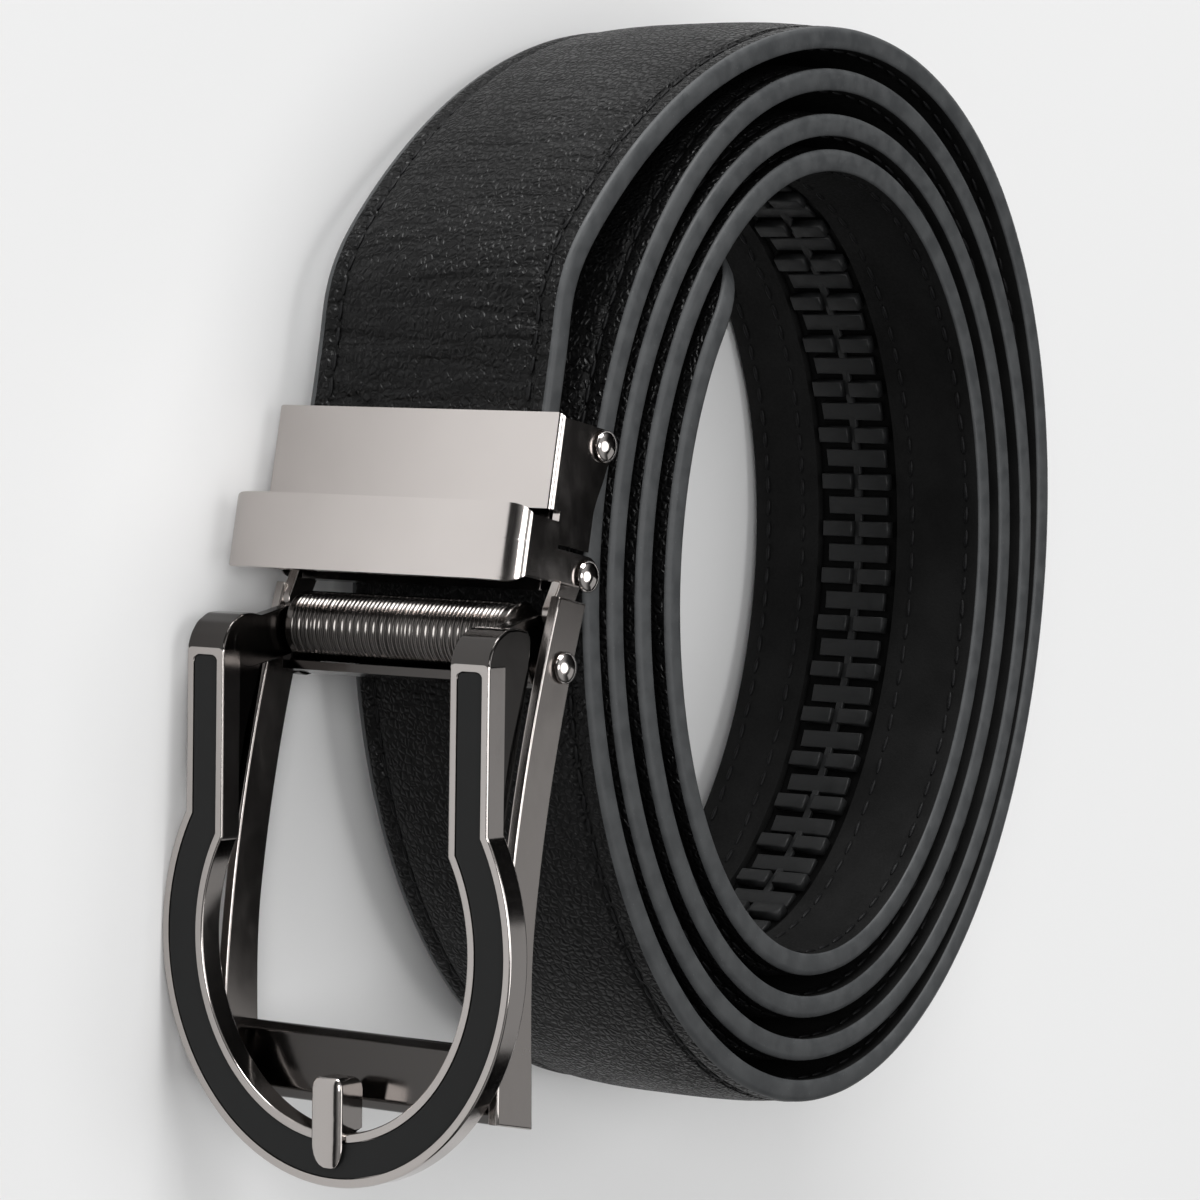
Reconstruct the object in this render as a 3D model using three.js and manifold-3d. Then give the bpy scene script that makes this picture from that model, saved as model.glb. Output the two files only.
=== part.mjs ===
// A ratchet belt wound into a roll of a little over four turns, lying on its side as it comes out of its box.
// The black strap runs from the clamp of the buckle round and inwards to its pointed tail. The tail's lining
// carries a toothed track. The gunmetal buckle hangs at the outside: clamp, keeper, frame, and a horseshoe
// lever with an inlay, a false prong and a ribbed barrel, which swings on two rivets to free the track.
// Millimetres, +Z up. The roll is drawn with its axis along Z, then leaned until it rests on the lever's side.
import * as THREE from 'three';
import Module from 'manifold-3d';
import { mergeVertices } from 'three/addons/utils/BufferGeometryUtils.js';

const wasm = await Module();
wasm.setup();

// Strap
const strapWidth = 35;
const edgeThickness = 2.7;
const crownRise = 0.8;
const stitchInset = 2.9;
const valleyDepth = 0.12;
const stationStep = 11;
const headLength = 24;
const headInClamp = 10;
const crownFade = 13;
const tipLength = 13;
const tipHalfWidth = 7.5;
const tipShares = [0, 0.25, 0.5, 0.72, 0.87, 0.96, 1];
const grooveEdge = 0.05;

// A step too small to see, which keeps neighbouring points of a section apart
const sliver = 0.02;

// Roll: half sizes of the outermost turn to the middle of the strap, and the clear space between turns
const rollHalfWidth = 49.1;
const rollHeightHalf = 64.5;
const turnGap = 1.6;
const turnPitch = edgeThickness + crownRise + turnGap;
const spiralStart = 34;
const spiralEnd = 1502;
const spiralStep = 12;

// How many pitches inside the outermost turn the strap lies, at each half turn from the buckle's side
const widthRows = [
  { halfTurn: 0, pitchesIn: -3.2 },
  { halfTurn: 1, pitchesIn: 0 },
  { halfTurn: 2, pitchesIn: 0.19 },
  { halfTurn: 3, pitchesIn: 0.76 },
  { halfTurn: 4, pitchesIn: 1.1 },
  { halfTurn: 5, pitchesIn: 1.76 },
  { halfTurn: 6, pitchesIn: 2.17 },
  { halfTurn: 7, pitchesIn: 2.71 },
  { halfTurn: 8, pitchesIn: 3.31 },
  { halfTurn: 9, pitchesIn: 3.75 },
];
const heightRows = [
  { halfTurn: 0.5, pitchesIn: 0 },
  { halfTurn: 1.5, pitchesIn: 0.02 },
  { halfTurn: 2.5, pitchesIn: 1.0 },
  { halfTurn: 3.5, pitchesIn: 1.01 },
  { halfTurn: 4.5, pitchesIn: 2.08 },
  { halfTurn: 5.5, pitchesIn: 2.04 },
  { halfTurn: 6.5, pitchesIn: 2.92 },
  { halfTurn: 7.5, pitchesIn: 3.06 },
  { halfTurn: 8.5, pitchesIn: 3.92 },
];

// Direction from the ring's low side to where the outer turn touches, from +X towards +Y
const restHeading = 33.5;

// Ratchet track on the lining
const trackWidth = 11.7;
const trackAside = -1.35;
const trackStart = 60;
const toothPitch = 6.35;
const toothCount = 45;
const toothLength = 2.4;
const toothRise = 0.75;
const toothSlope = 0.25;
const spineWidth = 0.9;
const spineRise = 0.4;
const trackBase = 0.7;
const trackFit = 0.3;
const toothFoot = 0.05;

// Buckle: "down" runs from the clamp to the lever's foot, "out" away from the body
const rollClearance = 7.1;
const buckleX = -rollHalfWidth - rollClearance;
const buckleY = 17.2;
const buckleLean = 9;
const strapOut = 0.7;
const wall = 1.4;
const fit = 0.3;
const sideRoom = 3.5;
const buckleHalf = strapWidth / 2 + sideRoom;
const keeperHalf = buckleHalf + wall / 2;

// Rivets and pins
const pinRadius = 1;
const pinHole = pinRadius + fit;
const headRadius = 1.85;
const headDome = 0.95;
const holeSegments = 12;
const linkSegments = 5;
const domeSteps = 3;

// Clamp, and the jaw behind the strap
const clampTop = 0.5;
const clampPlateLength = 11;
const plateThickness = 0.95;
const flankStep = 1.8;
const flankTail = 3.7;
const clampBack = -4.7;
const clampPlateEnd = clampTop + clampPlateLength;
const clampEnd = clampPlateEnd + flankTail;
const clampFront = strapOut + edgeThickness / 2 + fit + plateThickness;
const clampFlankFront = clampFront - flankStep;
const clampPin = { down: clampTop + 2.4, out: -5 };
const earRadius = 2.3;
const jawThickness = 1.6;
const knuckleRadius = 2;

// Keeper
const keeperLength = 8.8;
const keeperFront = 9.6;
const keeperThickness = 1.2;
const keeperFoot = 1.9;
const legRadius = 2.25;
const keeperTop = clampPlateEnd + fit;
const keeperEnd = keeperTop + keeperLength;
const keeperPin = { down: keeperEnd - legRadius - fit, out: -3.9 };

// Barrel and lever pivot: the barrel clears the jaw, and the pivot follows the barrel
const barrelRadius = 4.1;
const barrelGap = 1.1;
const barrelSegments = 20;
const journalRadius = 0.8;
const barrelAxis = { down: keeperEnd + barrelGap + barrelRadius, out: -1.3 };
const leverPin = { down: barrelAxis.down + 2.9, out: barrelAxis.out - 1.5 };
const webThickness = 1;
const webDepth = 4;

// Frame
const frameLength = 59.7;
const frameDepth = 5.2;
const frameBow = 2.6;
const frameFrontTop = -0.5;
const frameFrontEnd = -1.7;
const footFlare = 1.4;
const flareStart = 0.6;
const frameSteps = 9;
const barHeight = 8.6;
const barBevel = 1.1;
const tongueRadius = 1.8;
const frameTop = keeperEnd + fit;
const frameEnd = frameTop + frameLength;
const barTop = frameEnd - barHeight;
const tongueInner = keeperHalf - 2 * wall - fit;

// Lever: a horseshoe ring whose arms reach back to lugs between the frame's tongues
const leverTop = { down: leverPin.down + 1.7, out: 12.2 };
const leverSlope = 11;
const ringHalfWidth = buckleHalf + 4.7;
const ringHalfHeight = 27.6;
const ringCentre = ringHalfHeight + 5.5;
const ringThickness = 3.3;
const bandWidth = 6.2;
const ringSegments = 18;
const lugThickness = 1.7;
const lugRadius = 2.8;
const lugOuter = tongueInner - fit;
const armInner = lugOuter - lugThickness;
const armOuter = buckleHalf + 1.2;
const armTaper = 19.6;
const shoulderDepth = 7.3;
const shoulderRise = 4.9;
const rimWidth = 1.05;
const pocketDepth = 0.9;
const inlayThickness = 0.6;

// Prong, on the inner edge of the ring's foot
const prongWidth = 4.4;
const prongReach = 6.4;
const prongOver = 4;
const prongRise = 1.3;

const gunmetal = new THREE.MeshStandardMaterial({ color: 0x6e6763, roughness: 0.16, metalness: 1 });
const darkMetal = new THREE.MeshStandardMaterial({ color: 0x2b2928, roughness: 0.2, metalness: 1 });
const enamel = new THREE.MeshStandardMaterial({ color: 0x1e2020, roughness: 0.45, metalness: 0 });
const leather = new THREE.MeshStandardMaterial({ color: 0x141414, roughness: 0.5, metalness: 0 });
const nylon = new THREE.MeshStandardMaterial({ color: 0x26282a, roughness: 0.6, metalness: 0 });

const radians = THREE.MathUtils.degToRad;

// Solids: a closed geometry becomes a manifold, and a manifold becomes a mesh again.
function solid(geometry) {
  const bare = geometry.index ? geometry.toNonIndexed() : geometry.clone();
  bare.deleteAttribute('normal');
  bare.deleteAttribute('uv');
  const merged = mergeVertices(bare, 1e-4);
  const vertProperties = merged.attributes.position.array;
  return new wasm.Manifold(
    new wasm.Mesh({ numProp: 3, vertProperties, triVerts: new Uint32Array(merged.index.array) }),
  );
}

function join(geometries) {
  return geometries.map(solid).reduce((sum, next) => sum.add(next));
}

function mesh(name, shape, material) {
  let geometry = shape;
  if (!shape.isBufferGeometry) {
    const made = shape.getMesh();
    geometry = new THREE.BufferGeometry()
      .setAttribute('position', new THREE.BufferAttribute(made.vertProperties, 3))
      .setIndex(new THREE.BufferAttribute(made.triVerts, 1));
  }
  geometry.computeVertexNormals();
  const piece = new THREE.Mesh(geometry, material);
  piece.name = name;
  return piece;
}

// A value read from rows of half turns, smoothly between them.
function readRows(rows, halfTurn) {
  const first = rows[0].halfTurn;
  const last = rows.length - 1;
  const place = THREE.MathUtils.clamp(halfTurn - first, 0, last);
  const k = Math.min(Math.floor(place), last - 1);
  const value = (i) => rows[THREE.MathUtils.clamp(i, 0, last)].pitchesIn;
  const spline = new THREE.SplineCurve([
    new THREE.Vector2(0, value(k - 1)),
    new THREE.Vector2(1, value(k)),
    new THREE.Vector2(2, value(k + 1)),
    new THREE.Vector2(3, value(k + 2)),
  ]);
  return spline.getPoint((1 + place - k) / 3).y;
}

// Places in the buckle's own plane: x is inwards, y is up the buckle.
function place({ down, out }) {
  return new THREE.Vector2(-out, -down);
}

function outline(rows) {
  const points = rows.map(([down, out]) => place({ down, out }));
  return new THREE.Shape(THREE.ShapeUtils.isClockWise(points) ? points.reverse() : points);
}

// A link's side profile: the outline drawn tightly round two circles.
function link(from, fromRadius, to, toRadius) {
  const a = place(from);
  const b = place(to);
  const heading = Math.atan2(b.y - a.y, b.x - a.x);
  const turn = Math.acos((fromRadius - toRadius) / a.distanceTo(b));
  const shape = new THREE.Shape();
  shape.absarc(b.x, b.y, toRadius, heading - turn, heading + turn, false);
  shape.absarc(a.x, a.y, fromRadius, heading + turn, heading - turn, false);
  return shape;
}

function drill(at, radius, reach) {
  const { x, y } = place(at);
  return across(new THREE.Shape().absarc(x, y, radius, 0, 2 * Math.PI, false), -reach, reach, holeSegments);
}

function cut(body, holes) {
  return holes.map(solid).reduce((left, next) => left.subtract(next), body);
}

// A side profile of the buckle, extruded across the strap from one height to another.
function across(shape, from, to, curveSegments = linkSegments) {
  const made = new THREE.ExtrudeGeometry(shape, { depth: to - from, bevelEnabled: false, curveSegments });
  return made.translate(0, 0, from);
}

function bothSides(shape, inner, outer) {
  return [across(shape, inner, outer), across(shape, -outer, -inner)];
}

// The middle line of the strap: straight out of the clamp, then the spiral.
function strapLine() {
  const points = [];
  const lean = radians(buckleLean);
  for (const share of [0, 0.4, 0.7, 1]) {
    const down = headInClamp - headLength * share;
    const x = buckleX - down * Math.sin(lean) - strapOut * Math.cos(lean);
    const y = buckleY - down * Math.cos(lean) + strapOut * Math.sin(lean);
    points.push(new THREE.Vector3(x, y, 0));
  }
  for (let angle = spiralStart; angle <= spiralEnd; angle += spiralStep) {
    const halfTurn = angle / 180;
    const halfWidth = rollHalfWidth - turnPitch * readRows(widthRows, halfTurn);
    const halfHeight = rollHeightHalf - turnPitch * readRows(heightRows, halfTurn);
    points.push(
      new THREE.Vector3(-halfWidth * Math.cos(radians(angle)), halfHeight * Math.sin(radians(angle)), 0),
    );
  }
  const line = new THREE.CatmullRomCurve3(points, false, 'centripetal');
  line.arcLengthDivisions = 3000;
  return line;
}

const line = strapLine();
const strapLength = line.getLength();

// One cross-section of the strap: rows of height across the strap and distance outwards, carried to a station.
function carried(distance, rows) {
  const u = THREE.MathUtils.clamp(distance / strapLength, 0, 1);
  const point = line.getPointAt(u);
  const along = line.getTangentAt(u);
  return rows.map(
    ([height, outwards]) =>
      new THREE.Vector3(point.x - along.y * outwards, point.y + along.x * outwards, height),
  );
}

// Sections of equal count joined into one closed body.
function loft(sections, cap) {
  const count = sections[0].length;
  const positions = sections.flat().flatMap((p) => [p.x, p.y, p.z]);
  const index = [];
  for (let j = 0; j < sections.length - 1; j++) {
    for (let i = 0; i < count; i++) {
      const a = j * count + i;
      const b = j * count + ((i + 1) % count);
      index.push(a, b, b + count, a, b + count, a + count);
    }
  }
  const end = (sections.length - 1) * count;
  for (const [p, q, r] of cap) {
    index.push(p, r, q, end + p, end + q, end + r);
  }
  const geometry = new THREE.BufferGeometry();
  geometry.setAttribute('position', new THREE.Float32BufferAttribute(positions, 3));
  geometry.setIndex(index);
  return geometry;
}

function capOf(rows) {
  return THREE.ShapeUtils.triangulateShape(
    rows.map(([height, outwards]) => new THREE.Vector2(outwards, height)),
    [],
  );
}

// Half width of the strap at a distance from its tip: full, then a rounded point.
function halfWidthAt(fromTip) {
  if (fromTip >= tipLength) return strapWidth / 2;
  const rest = 1 - Math.max(fromTip, 0) / tipLength;
  return tipHalfWidth + (strapWidth / 2 - tipHalfWidth) * Math.sqrt(1 - rest * rest);
}

function strapSection(distance) {
  const half = halfWidthAt(strapLength - distance);
  const skin = edgeThickness / 2;
  const fromClamp = THREE.MathUtils.smoothstep(distance - headInClamp, 0, crownFade);
  const crown = crownRise * fromClamp * (half / (strapWidth / 2));
  const stitch = half - stitchInset;
  const grooved = distance > trackFrom - trackFit && distance < trackTo + trackFit;
  const groove = grooved ? trackBase + trackFit : sliver;
  const grooveSide = (side) => {
    const reach = half - stitchInset / 2;
    return THREE.MathUtils.clamp(trackAside + side * (trackWidth / 2 + trackFit), -reach, reach);
  };
  const front = [
    [half, skin],
    [stitch, skin - valleyDepth],
    [stitch * 0.8, skin + crown * 0.75],
    [stitch * 0.35, skin + crown],
  ];
  const back = [
    [half, -skin],
    [grooveSide(1), -skin],
    [grooveSide(1) - sliver, groove - skin],
    [grooveSide(-1) + sliver, groove - skin],
    [grooveSide(-1), -skin],
    [-half, -skin],
  ];
  const flip = ([height, outwards]) => [-height, outwards];
  return [...front.map(flip), ...front.toReversed(), ...back];
}

const trackTo = strapLength - trackStart;
const trackFrom = trackTo - toothPitch * toothCount;

// Distances of the strap's cross-sections: even steps, but tooth by tooth along the track and close at the tip.
function strapStations() {
  const stations = [];
  const spread = (from, to, step) => {
    const steps = Math.max(1, Math.round((to - from) / step));
    for (let k = 0; k < steps; k++) stations.push(from + ((to - from) * k) / steps);
  };
  const grooveFrom = trackFrom - trackFit;
  const grooveTo = trackTo + trackFit;
  spread(0, grooveFrom - grooveEdge, stationStep);
  stations.push(grooveFrom - grooveEdge);
  spread(grooveFrom + grooveEdge, grooveTo - grooveEdge, toothPitch);
  stations.push(grooveTo - grooveEdge);
  spread(grooveTo + grooveEdge, strapLength - tipLength, stationStep);
  for (const share of tipShares) stations.push(strapLength - tipLength * (1 - share));
  return stations;
}

function strap() {
  const sections = strapStations().map((distance) => carried(distance, strapSection(distance)));
  return mesh('strap', loft(sections, capOf(strapSection(0))), leather);
}

// The track: a ribbon let into the lining, with pairs of raised blocks either side of a low spine.
function trackRows(rise) {
  const half = trackWidth / 2;
  const floor = edgeThickness / 2 - trackBase;
  const skin = edgeThickness / 2;
  return [
    [-half, -floor],
    [half, -floor],
    [half, -skin - rise],
    [spineWidth / 2, -skin - rise],
    [spineWidth / 2 - sliver, -skin - spineRise],
    [sliver - spineWidth / 2, -skin - spineRise],
    [-spineWidth / 2, -skin - rise],
    [-half, -skin - rise],
  ].map(([across, outwards]) => [trackAside + across, outwards]);
}

function ratchetTrack() {
  const sections = [carried(trackFrom, trackRows(toothFoot))];
  for (let k = 0; k < toothCount; k++) {
    const start = trackFrom + toothPitch * (k + 0.5) - toothLength / 2;
    sections.push(carried(start - toothSlope, trackRows(toothFoot)));
    sections.push(carried(start, trackRows(toothRise)));
    sections.push(carried(start + toothLength, trackRows(toothRise)));
    sections.push(carried(start + toothLength + toothSlope, trackRows(toothFoot)));
  }
  sections.push(carried(trackTo, trackRows(toothFoot)));
  return mesh('ratchet_track', loft(sections, capOf(trackRows(toothFoot))), nylon);
}

function clampHousing() {
  const flank = outline([
    [clampTop, clampFront],
    [clampPlateEnd, clampFront],
    [clampPlateEnd, clampFlankFront],
    [clampEnd, clampFlankFront],
    [clampEnd, clampBack],
    [clampTop, clampBack],
  ]);
  const ear = link(clampPin, earRadius, { down: clampEnd - earRadius, out: clampBack + earRadius }, earRadius);
  const plate = outline([
    [clampTop, clampFront],
    [clampPlateEnd, clampFront],
    [clampPlateEnd, clampFront - plateThickness],
    [clampTop, clampFront - plateThickness],
  ]);
  const body = join([
    across(plate, wall / 2 - buckleHalf, buckleHalf - wall / 2),
    ...bothSides(flank, buckleHalf - wall, buckleHalf),
    ...bothSides(ear, buckleHalf - wall, buckleHalf),
  ]);
  return mesh('clamp_housing', cut(body, [drill(clampPin, pinHole, buckleHalf + fit)]), gunmetal);
}

// The hidden plate behind the strap, with a knuckle on each of the two long pins.
function clampJaw() {
  const front = strapOut - edgeThickness / 2 - fit;
  const back = front - jawThickness;
  const end = keeperEnd - fit;
  const plate = outline([
    [clampTop + fit, front],
    [end, front],
    [end, back],
    [clampTop + fit, back],
  ]);
  const knuckle = (at) => link(at, knuckleRadius, { down: at.down, out: front - knuckleRadius }, knuckleRadius);
  const half = buckleHalf - 2 * wall - 2 * fit;
  const body = join([plate, knuckle(clampPin), knuckle(keeperPin)].map((shape) => across(shape, -half, half)));
  const holes = [drill(clampPin, pinHole, buckleHalf), drill(keeperPin, pinHole, buckleHalf)];
  return mesh('clamp_jaw', cut(body, holes), darkMetal);
}

function keeperLoop() {
  const side = outline([
    [keeperTop, keeperFront],
    [keeperEnd, keeperFront],
    [keeperEnd, keeperFoot],
    [keeperTop + fit, keeperFoot],
  ]);
  const leg = link(keeperPin, legRadius, { down: keeperPin.down, out: keeperFoot + legRadius }, legRadius);
  const bridge = outline([
    [keeperTop, keeperFront],
    [keeperEnd, keeperFront],
    [keeperEnd, keeperFront - keeperThickness],
    [keeperTop, keeperFront - keeperThickness],
  ]);
  const body = join([
    across(bridge, wall / 2 - keeperHalf, keeperHalf - wall / 2),
    ...bothSides(side, keeperHalf - wall, keeperHalf),
    ...bothSides(leg, keeperHalf - wall, keeperHalf),
  ]);
  return mesh('keeper_loop', cut(body, [drill(keeperPin, pinHole, keeperHalf + fit)]), gunmetal);
}

// Front edge of the frame's walls, bowed to the waist between its two ends.
function frameFront(down) {
  const share = (down - frameTop) / (frameEnd - frameTop);
  const chord = THREE.MathUtils.lerp(frameFrontTop, frameFrontEnd, share);
  return chord + frameBow * (1 - (2 * share - 1) ** 2);
}

function frameBack(down) {
  const share = (down - frameTop) / (frameEnd - frameTop);
  return frameFront(down) - frameDepth - footFlare * THREE.MathUtils.smoothstep(share, flareStart, 1);
}

function frame() {
  const downs = [...Array(frameSteps + 1).keys()].map((k) =>
    THREE.MathUtils.lerp(frameTop, frameEnd, k / frameSteps),
  );
  const front = downs.map((down) => [down, frameFront(down)]);
  const back = downs.map((down) => [down, frameBack(down)]).reverse();
  const sideWall = outline([...front, ...back]);
  const tongueEnd = { down: frameTop + tongueRadius, out: frameFrontTop - tongueRadius };
  const tongue = link(keeperPin, tongueRadius, tongueEnd, tongueRadius);
  const bar = outline([
    [barTop, frameFront(barTop) - 3 * barBevel],
    [barTop + barBevel, frameFront(barTop) - 2 * barBevel],
    [frameEnd - barBevel, frameFront(frameEnd) - barBevel],
    [frameEnd, frameFront(frameEnd) - 2 * barBevel],
    [frameEnd, frameBack(frameEnd) + barBevel],
    [frameEnd - barBevel, frameBack(frameEnd) + barBevel / 3],
    [barTop + 2 * barBevel, frameBack(barTop) + barBevel],
    [barTop, frameBack(barTop) + 1.5 * barBevel],
  ]);
  const body = join([
    ...bothSides(sideWall, buckleHalf - wall, buckleHalf),
    ...bothSides(tongue, tongueInner, keeperHalf - wall - fit),
    across(bar, wall / 2 - buckleHalf, buckleHalf - wall / 2),
  ]);
  const holes = [drill(leverPin, pinHole, buckleHalf + fit), drill(keeperPin, pinHole, buckleHalf + fit)];
  return mesh('frame', cut(body, holes), gunmetal);
}

// A pin with domed heads, turned about the axis across the strap, from one height to another.
function pin(name, at, from, to, domes) {
  const profile = [new THREE.Vector2(0, from)];
  if (domes.low) {
    for (let k = 1; k <= domeSteps; k++) {
      const a = (Math.PI / 2) * (k / domeSteps);
      profile.push(new THREE.Vector2(headRadius * Math.sin(a), from + headDome * (1 - Math.cos(a))));
    }
    profile.push(new THREE.Vector2(pinRadius, from + headDome));
  } else {
    profile.push(new THREE.Vector2(pinRadius, from));
  }
  if (domes.high) {
    profile.push(new THREE.Vector2(pinRadius, to - headDome));
    for (let k = domeSteps; k >= 1; k--) {
      const a = (Math.PI / 2) * (k / domeSteps);
      profile.push(new THREE.Vector2(headRadius * Math.sin(a), to - headDome * (1 - Math.cos(a))));
    }
  } else {
    profile.push(new THREE.Vector2(pinRadius, to));
  }
  profile.push(new THREE.Vector2(0, to));
  const turned = new THREE.LatheGeometry(profile, 12).rotateX(Math.PI / 2);
  const piece = mesh(name, turned, gunmetal);
  const { x, y } = place(at);
  piece.position.set(x, y, 0);
  return piece;
}

function pins() {
  const clampHead = buckleHalf + fit + headDome;
  const keeperHead = keeperHalf + fit + headDome;
  const stub = armInner + fit;
  return [
    pin('clamp_pin', clampPin, -clampHead, clampHead, { low: true, high: true }),
    pin('keeper_pin', keeperPin, -keeperHead, keeperHead, { low: true, high: true }),
    pin('lever_rivet_low', leverPin, -clampHead, -stub, { low: true, high: false }),
    pin('lever_rivet_high', leverPin, stub, clampHead, { low: false, high: true }),
  ];
}

// The horseshoe's outline in its own plane, drawn inset all round: an oval ring with two straight arms on top.
function horseshoe(inset) {
  const shape = new THREE.Shape();
  const outerX = ringHalfWidth - inset;
  const outerY = ringHalfHeight - inset;
  const innerX = ringHalfWidth - bandWidth + inset;
  const innerY = ringHalfHeight - bandWidth + inset;
  const armFar = armOuter - inset;
  const armNear = armInner + inset;
  const top = -inset;
  const outerMeet = Math.acos(armFar / outerX);
  const innerMeet = Math.acos(armNear / innerX);
  shape.absellipse(0, -ringCentre, outerX, outerY, Math.PI - outerMeet, outerMeet, false);
  shape.lineTo(armFar, top);
  shape.lineTo(armNear, top);
  shape.absellipse(0, -ringCentre, innerX, innerY, innerMeet, Math.PI - innerMeet, true);
  shape.lineTo(-armNear, top);
  shape.lineTo(-armFar, top);
  return shape;
}

// Lays a shape drawn in the horseshoe's plane between two depths behind its front face.
function onLever(shape, fromFront, toBack) {
  const settings = { depth: toBack - fromFront, bevelEnabled: false, curveSegments: ringSegments };
  const made = new THREE.ExtrudeGeometry(shape, settings);
  made.rotateY(-Math.PI / 2).translate(toBack, 0, 0);
  const { x, y } = place(leverTop);
  return made.rotateZ(radians(leverSlope)).translate(x, y, 0);
}

// One arm's side profile below a line level with the ring's top: thick at the shoulder, then run out along
// the ring's back. Each corner is a share of the shoulder's depth behind the ring's front.
function armProfile() {
  const slope = Math.tan(radians(leverSlope));
  const corner = (down, depth) => [leverTop.down + down, leverTop.out - depth];
  const footFront = armTaper * slope + sliver;
  return outline([
    corner(0, 2 * sliver),
    corner(armTaper, footFront),
    corner(armTaper, footFront + ringThickness),
    corner(0.7 * armTaper, 0.82 * shoulderDepth),
    corner(0.46 * armTaper, 0.84 * shoulderDepth),
    corner(0.18 * armTaper, shoulderDepth),
    corner(-0.3 * shoulderRise, shoulderDepth),
    corner(-shoulderRise, 0.89 * shoulderDepth),
    corner(-0.9 * shoulderRise, 0.55 * shoulderDepth),
    corner(-0.57 * shoulderRise, 0.19 * shoulderDepth),
    corner(-0.28 * shoulderRise, 0.06 * shoulderDepth),
  ]);
}

function leverRing() {
  const shoulder = {
    down: leverTop.down - 0.2 * shoulderRise,
    out: leverTop.out - 0.62 * shoulderDepth,
  };
  const lug = link(barrelAxis, lugRadius, leverPin, lugRadius);
  const neck = link(barrelAxis, lugRadius, shoulder, lugRadius);
  const webTop = barrelAxis.down + barrelRadius + fit;
  const web = outline([
    [webTop, barrelAxis.out + webDepth / 2],
    [webTop + webThickness, barrelAxis.out + webDepth / 2],
    [webTop + webThickness, barrelAxis.out - webDepth / 2],
    [webTop, barrelAxis.out - webDepth / 2],
  ]);
  const body = join([
    onLever(horseshoe(0), 0, ringThickness),
    ...bothSides(armProfile(), armInner, armOuter),
    ...bothSides(lug, armInner, lugOuter),
    ...bothSides(neck, armInner, lugOuter),
    across(web, -armInner - lugThickness / 2, armInner + lugThickness / 2),
  ]);
  const holes = [drill(leverPin, pinHole, armOuter), drill(barrelAxis, journalRadius + fit, armOuter)];
  const pocket = onLever(horseshoe(rimWidth), -wall, pocketDepth);
  return mesh('lever_ring', cut(body, [...holes, pocket]), gunmetal);
}

function inlay() {
  const floor = pocketDepth - fit;
  return mesh('inlay', onLever(horseshoe(rimWidth + fit), floor - inlayThickness, floor), enamel);
}

function barrel() {
  const half = armInner - fit;
  const end = lugOuter - fit;
  const chamfer = barrelRadius / 8;
  const profile = [
    new THREE.Vector2(0, -end),
    new THREE.Vector2(journalRadius, -end),
    new THREE.Vector2(journalRadius, -half),
    new THREE.Vector2(barrelRadius - chamfer, -half),
    new THREE.Vector2(barrelRadius, chamfer - half),
    new THREE.Vector2(barrelRadius, half - chamfer),
    new THREE.Vector2(barrelRadius - chamfer, half),
    new THREE.Vector2(journalRadius, half),
    new THREE.Vector2(journalRadius, end),
    new THREE.Vector2(0, end),
  ];
  const turned = new THREE.LatheGeometry(profile, barrelSegments).rotateX(Math.PI / 2);
  const piece = mesh('ribbed_barrel', turned, darkMetal);
  const { x, y } = place(barrelAxis);
  piece.position.set(x, y, 0);
  return piece;
}

// The false prong: a tongue that hooks from inside the ring over the inlay.
function prong() {
  const innerEdge = ringCentre + ringHalfHeight - bandWidth;
  const seat = innerEdge - fit;
  const start = innerEdge - prongReach;
  const tip = innerEdge + prongOver;
  const side = new THREE.Shape([
    new THREE.Vector2(-prongRise * 0.6, -start),
    new THREE.Vector2(-prongRise, -start - prongRise),
    new THREE.Vector2(-prongRise, -seat),
    new THREE.Vector2(-prongRise * 0.85, 0.55 * prongOver - tip),
    new THREE.Vector2(-prongRise * 0.55, 0.1 * prongOver - tip),
    new THREE.Vector2(-fit, -tip),
    new THREE.Vector2(-fit, -seat),
    new THREE.Vector2(ringThickness, -seat),
    new THREE.Vector2(ringThickness, -start - prongRise),
    new THREE.Vector2(ringThickness - prongRise, -start),
  ]);
  const made = across(side, -prongWidth / 2, prongWidth / 2);
  const { x, y } = place(leverTop);
  return mesh('prong', made.rotateZ(radians(leverSlope)).translate(x, y, 0), gunmetal);
}

const buckle = new THREE.Group();
buckle.position.set(buckleX, buckleY, 0);
buckle.rotation.z = -radians(buckleLean);
buckle.add(clampHousing(), clampJaw(), keeperLoop(), frame(), ...pins());
buckle.add(leverRing(), inlay(), barrel(), prong());

const roll = new THREE.Group();
roll.add(strap(), ratchetTrack(), buckle);

// At rest the wide ring props up the buckle's side, so the roll tilts until the far edge of its outer turn
// touches too. The tilt follows from how far the ring reaches below the strap and how far apart the two touch.
const heading = radians(restHeading);
const ringSide = new THREE.Vector3(0, -ringCentre, ringHalfWidth)
  .applyAxisAngle(new THREE.Vector3(0, 0, 1), radians(leverSlope))
  .add(new THREE.Vector3(-leverTop.out, -leverTop.down, 0))
  .applyAxisAngle(new THREE.Vector3(0, 0, 1), -radians(buckleLean))
  .add(new THREE.Vector3(buckleX, buckleY, 0));
const ringReach = ringSide.x * Math.cos(heading) + ringSide.y * Math.sin(heading);
const rollReach = Math.hypot(
  (rollHalfWidth + edgeThickness / 2) * Math.cos(heading),
  (rollHeightHalf + edgeThickness / 2) * Math.sin(heading),
);
const restTilt = Math.atan((ringHalfWidth - strapWidth / 2) / (rollReach - ringReach));
roll.rotateOnAxis(new THREE.Vector3(-Math.sin(heading), Math.cos(heading), 0), restTilt);

const belt = new THREE.Group();
belt.add(roll);
const bounds = new THREE.Box3().setFromObject(belt, true);
roll.position.set(-(bounds.min.x + bounds.max.x) / 2, -(bounds.min.y + bounds.max.y) / 2, -bounds.min.z);

export default belt;
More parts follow.
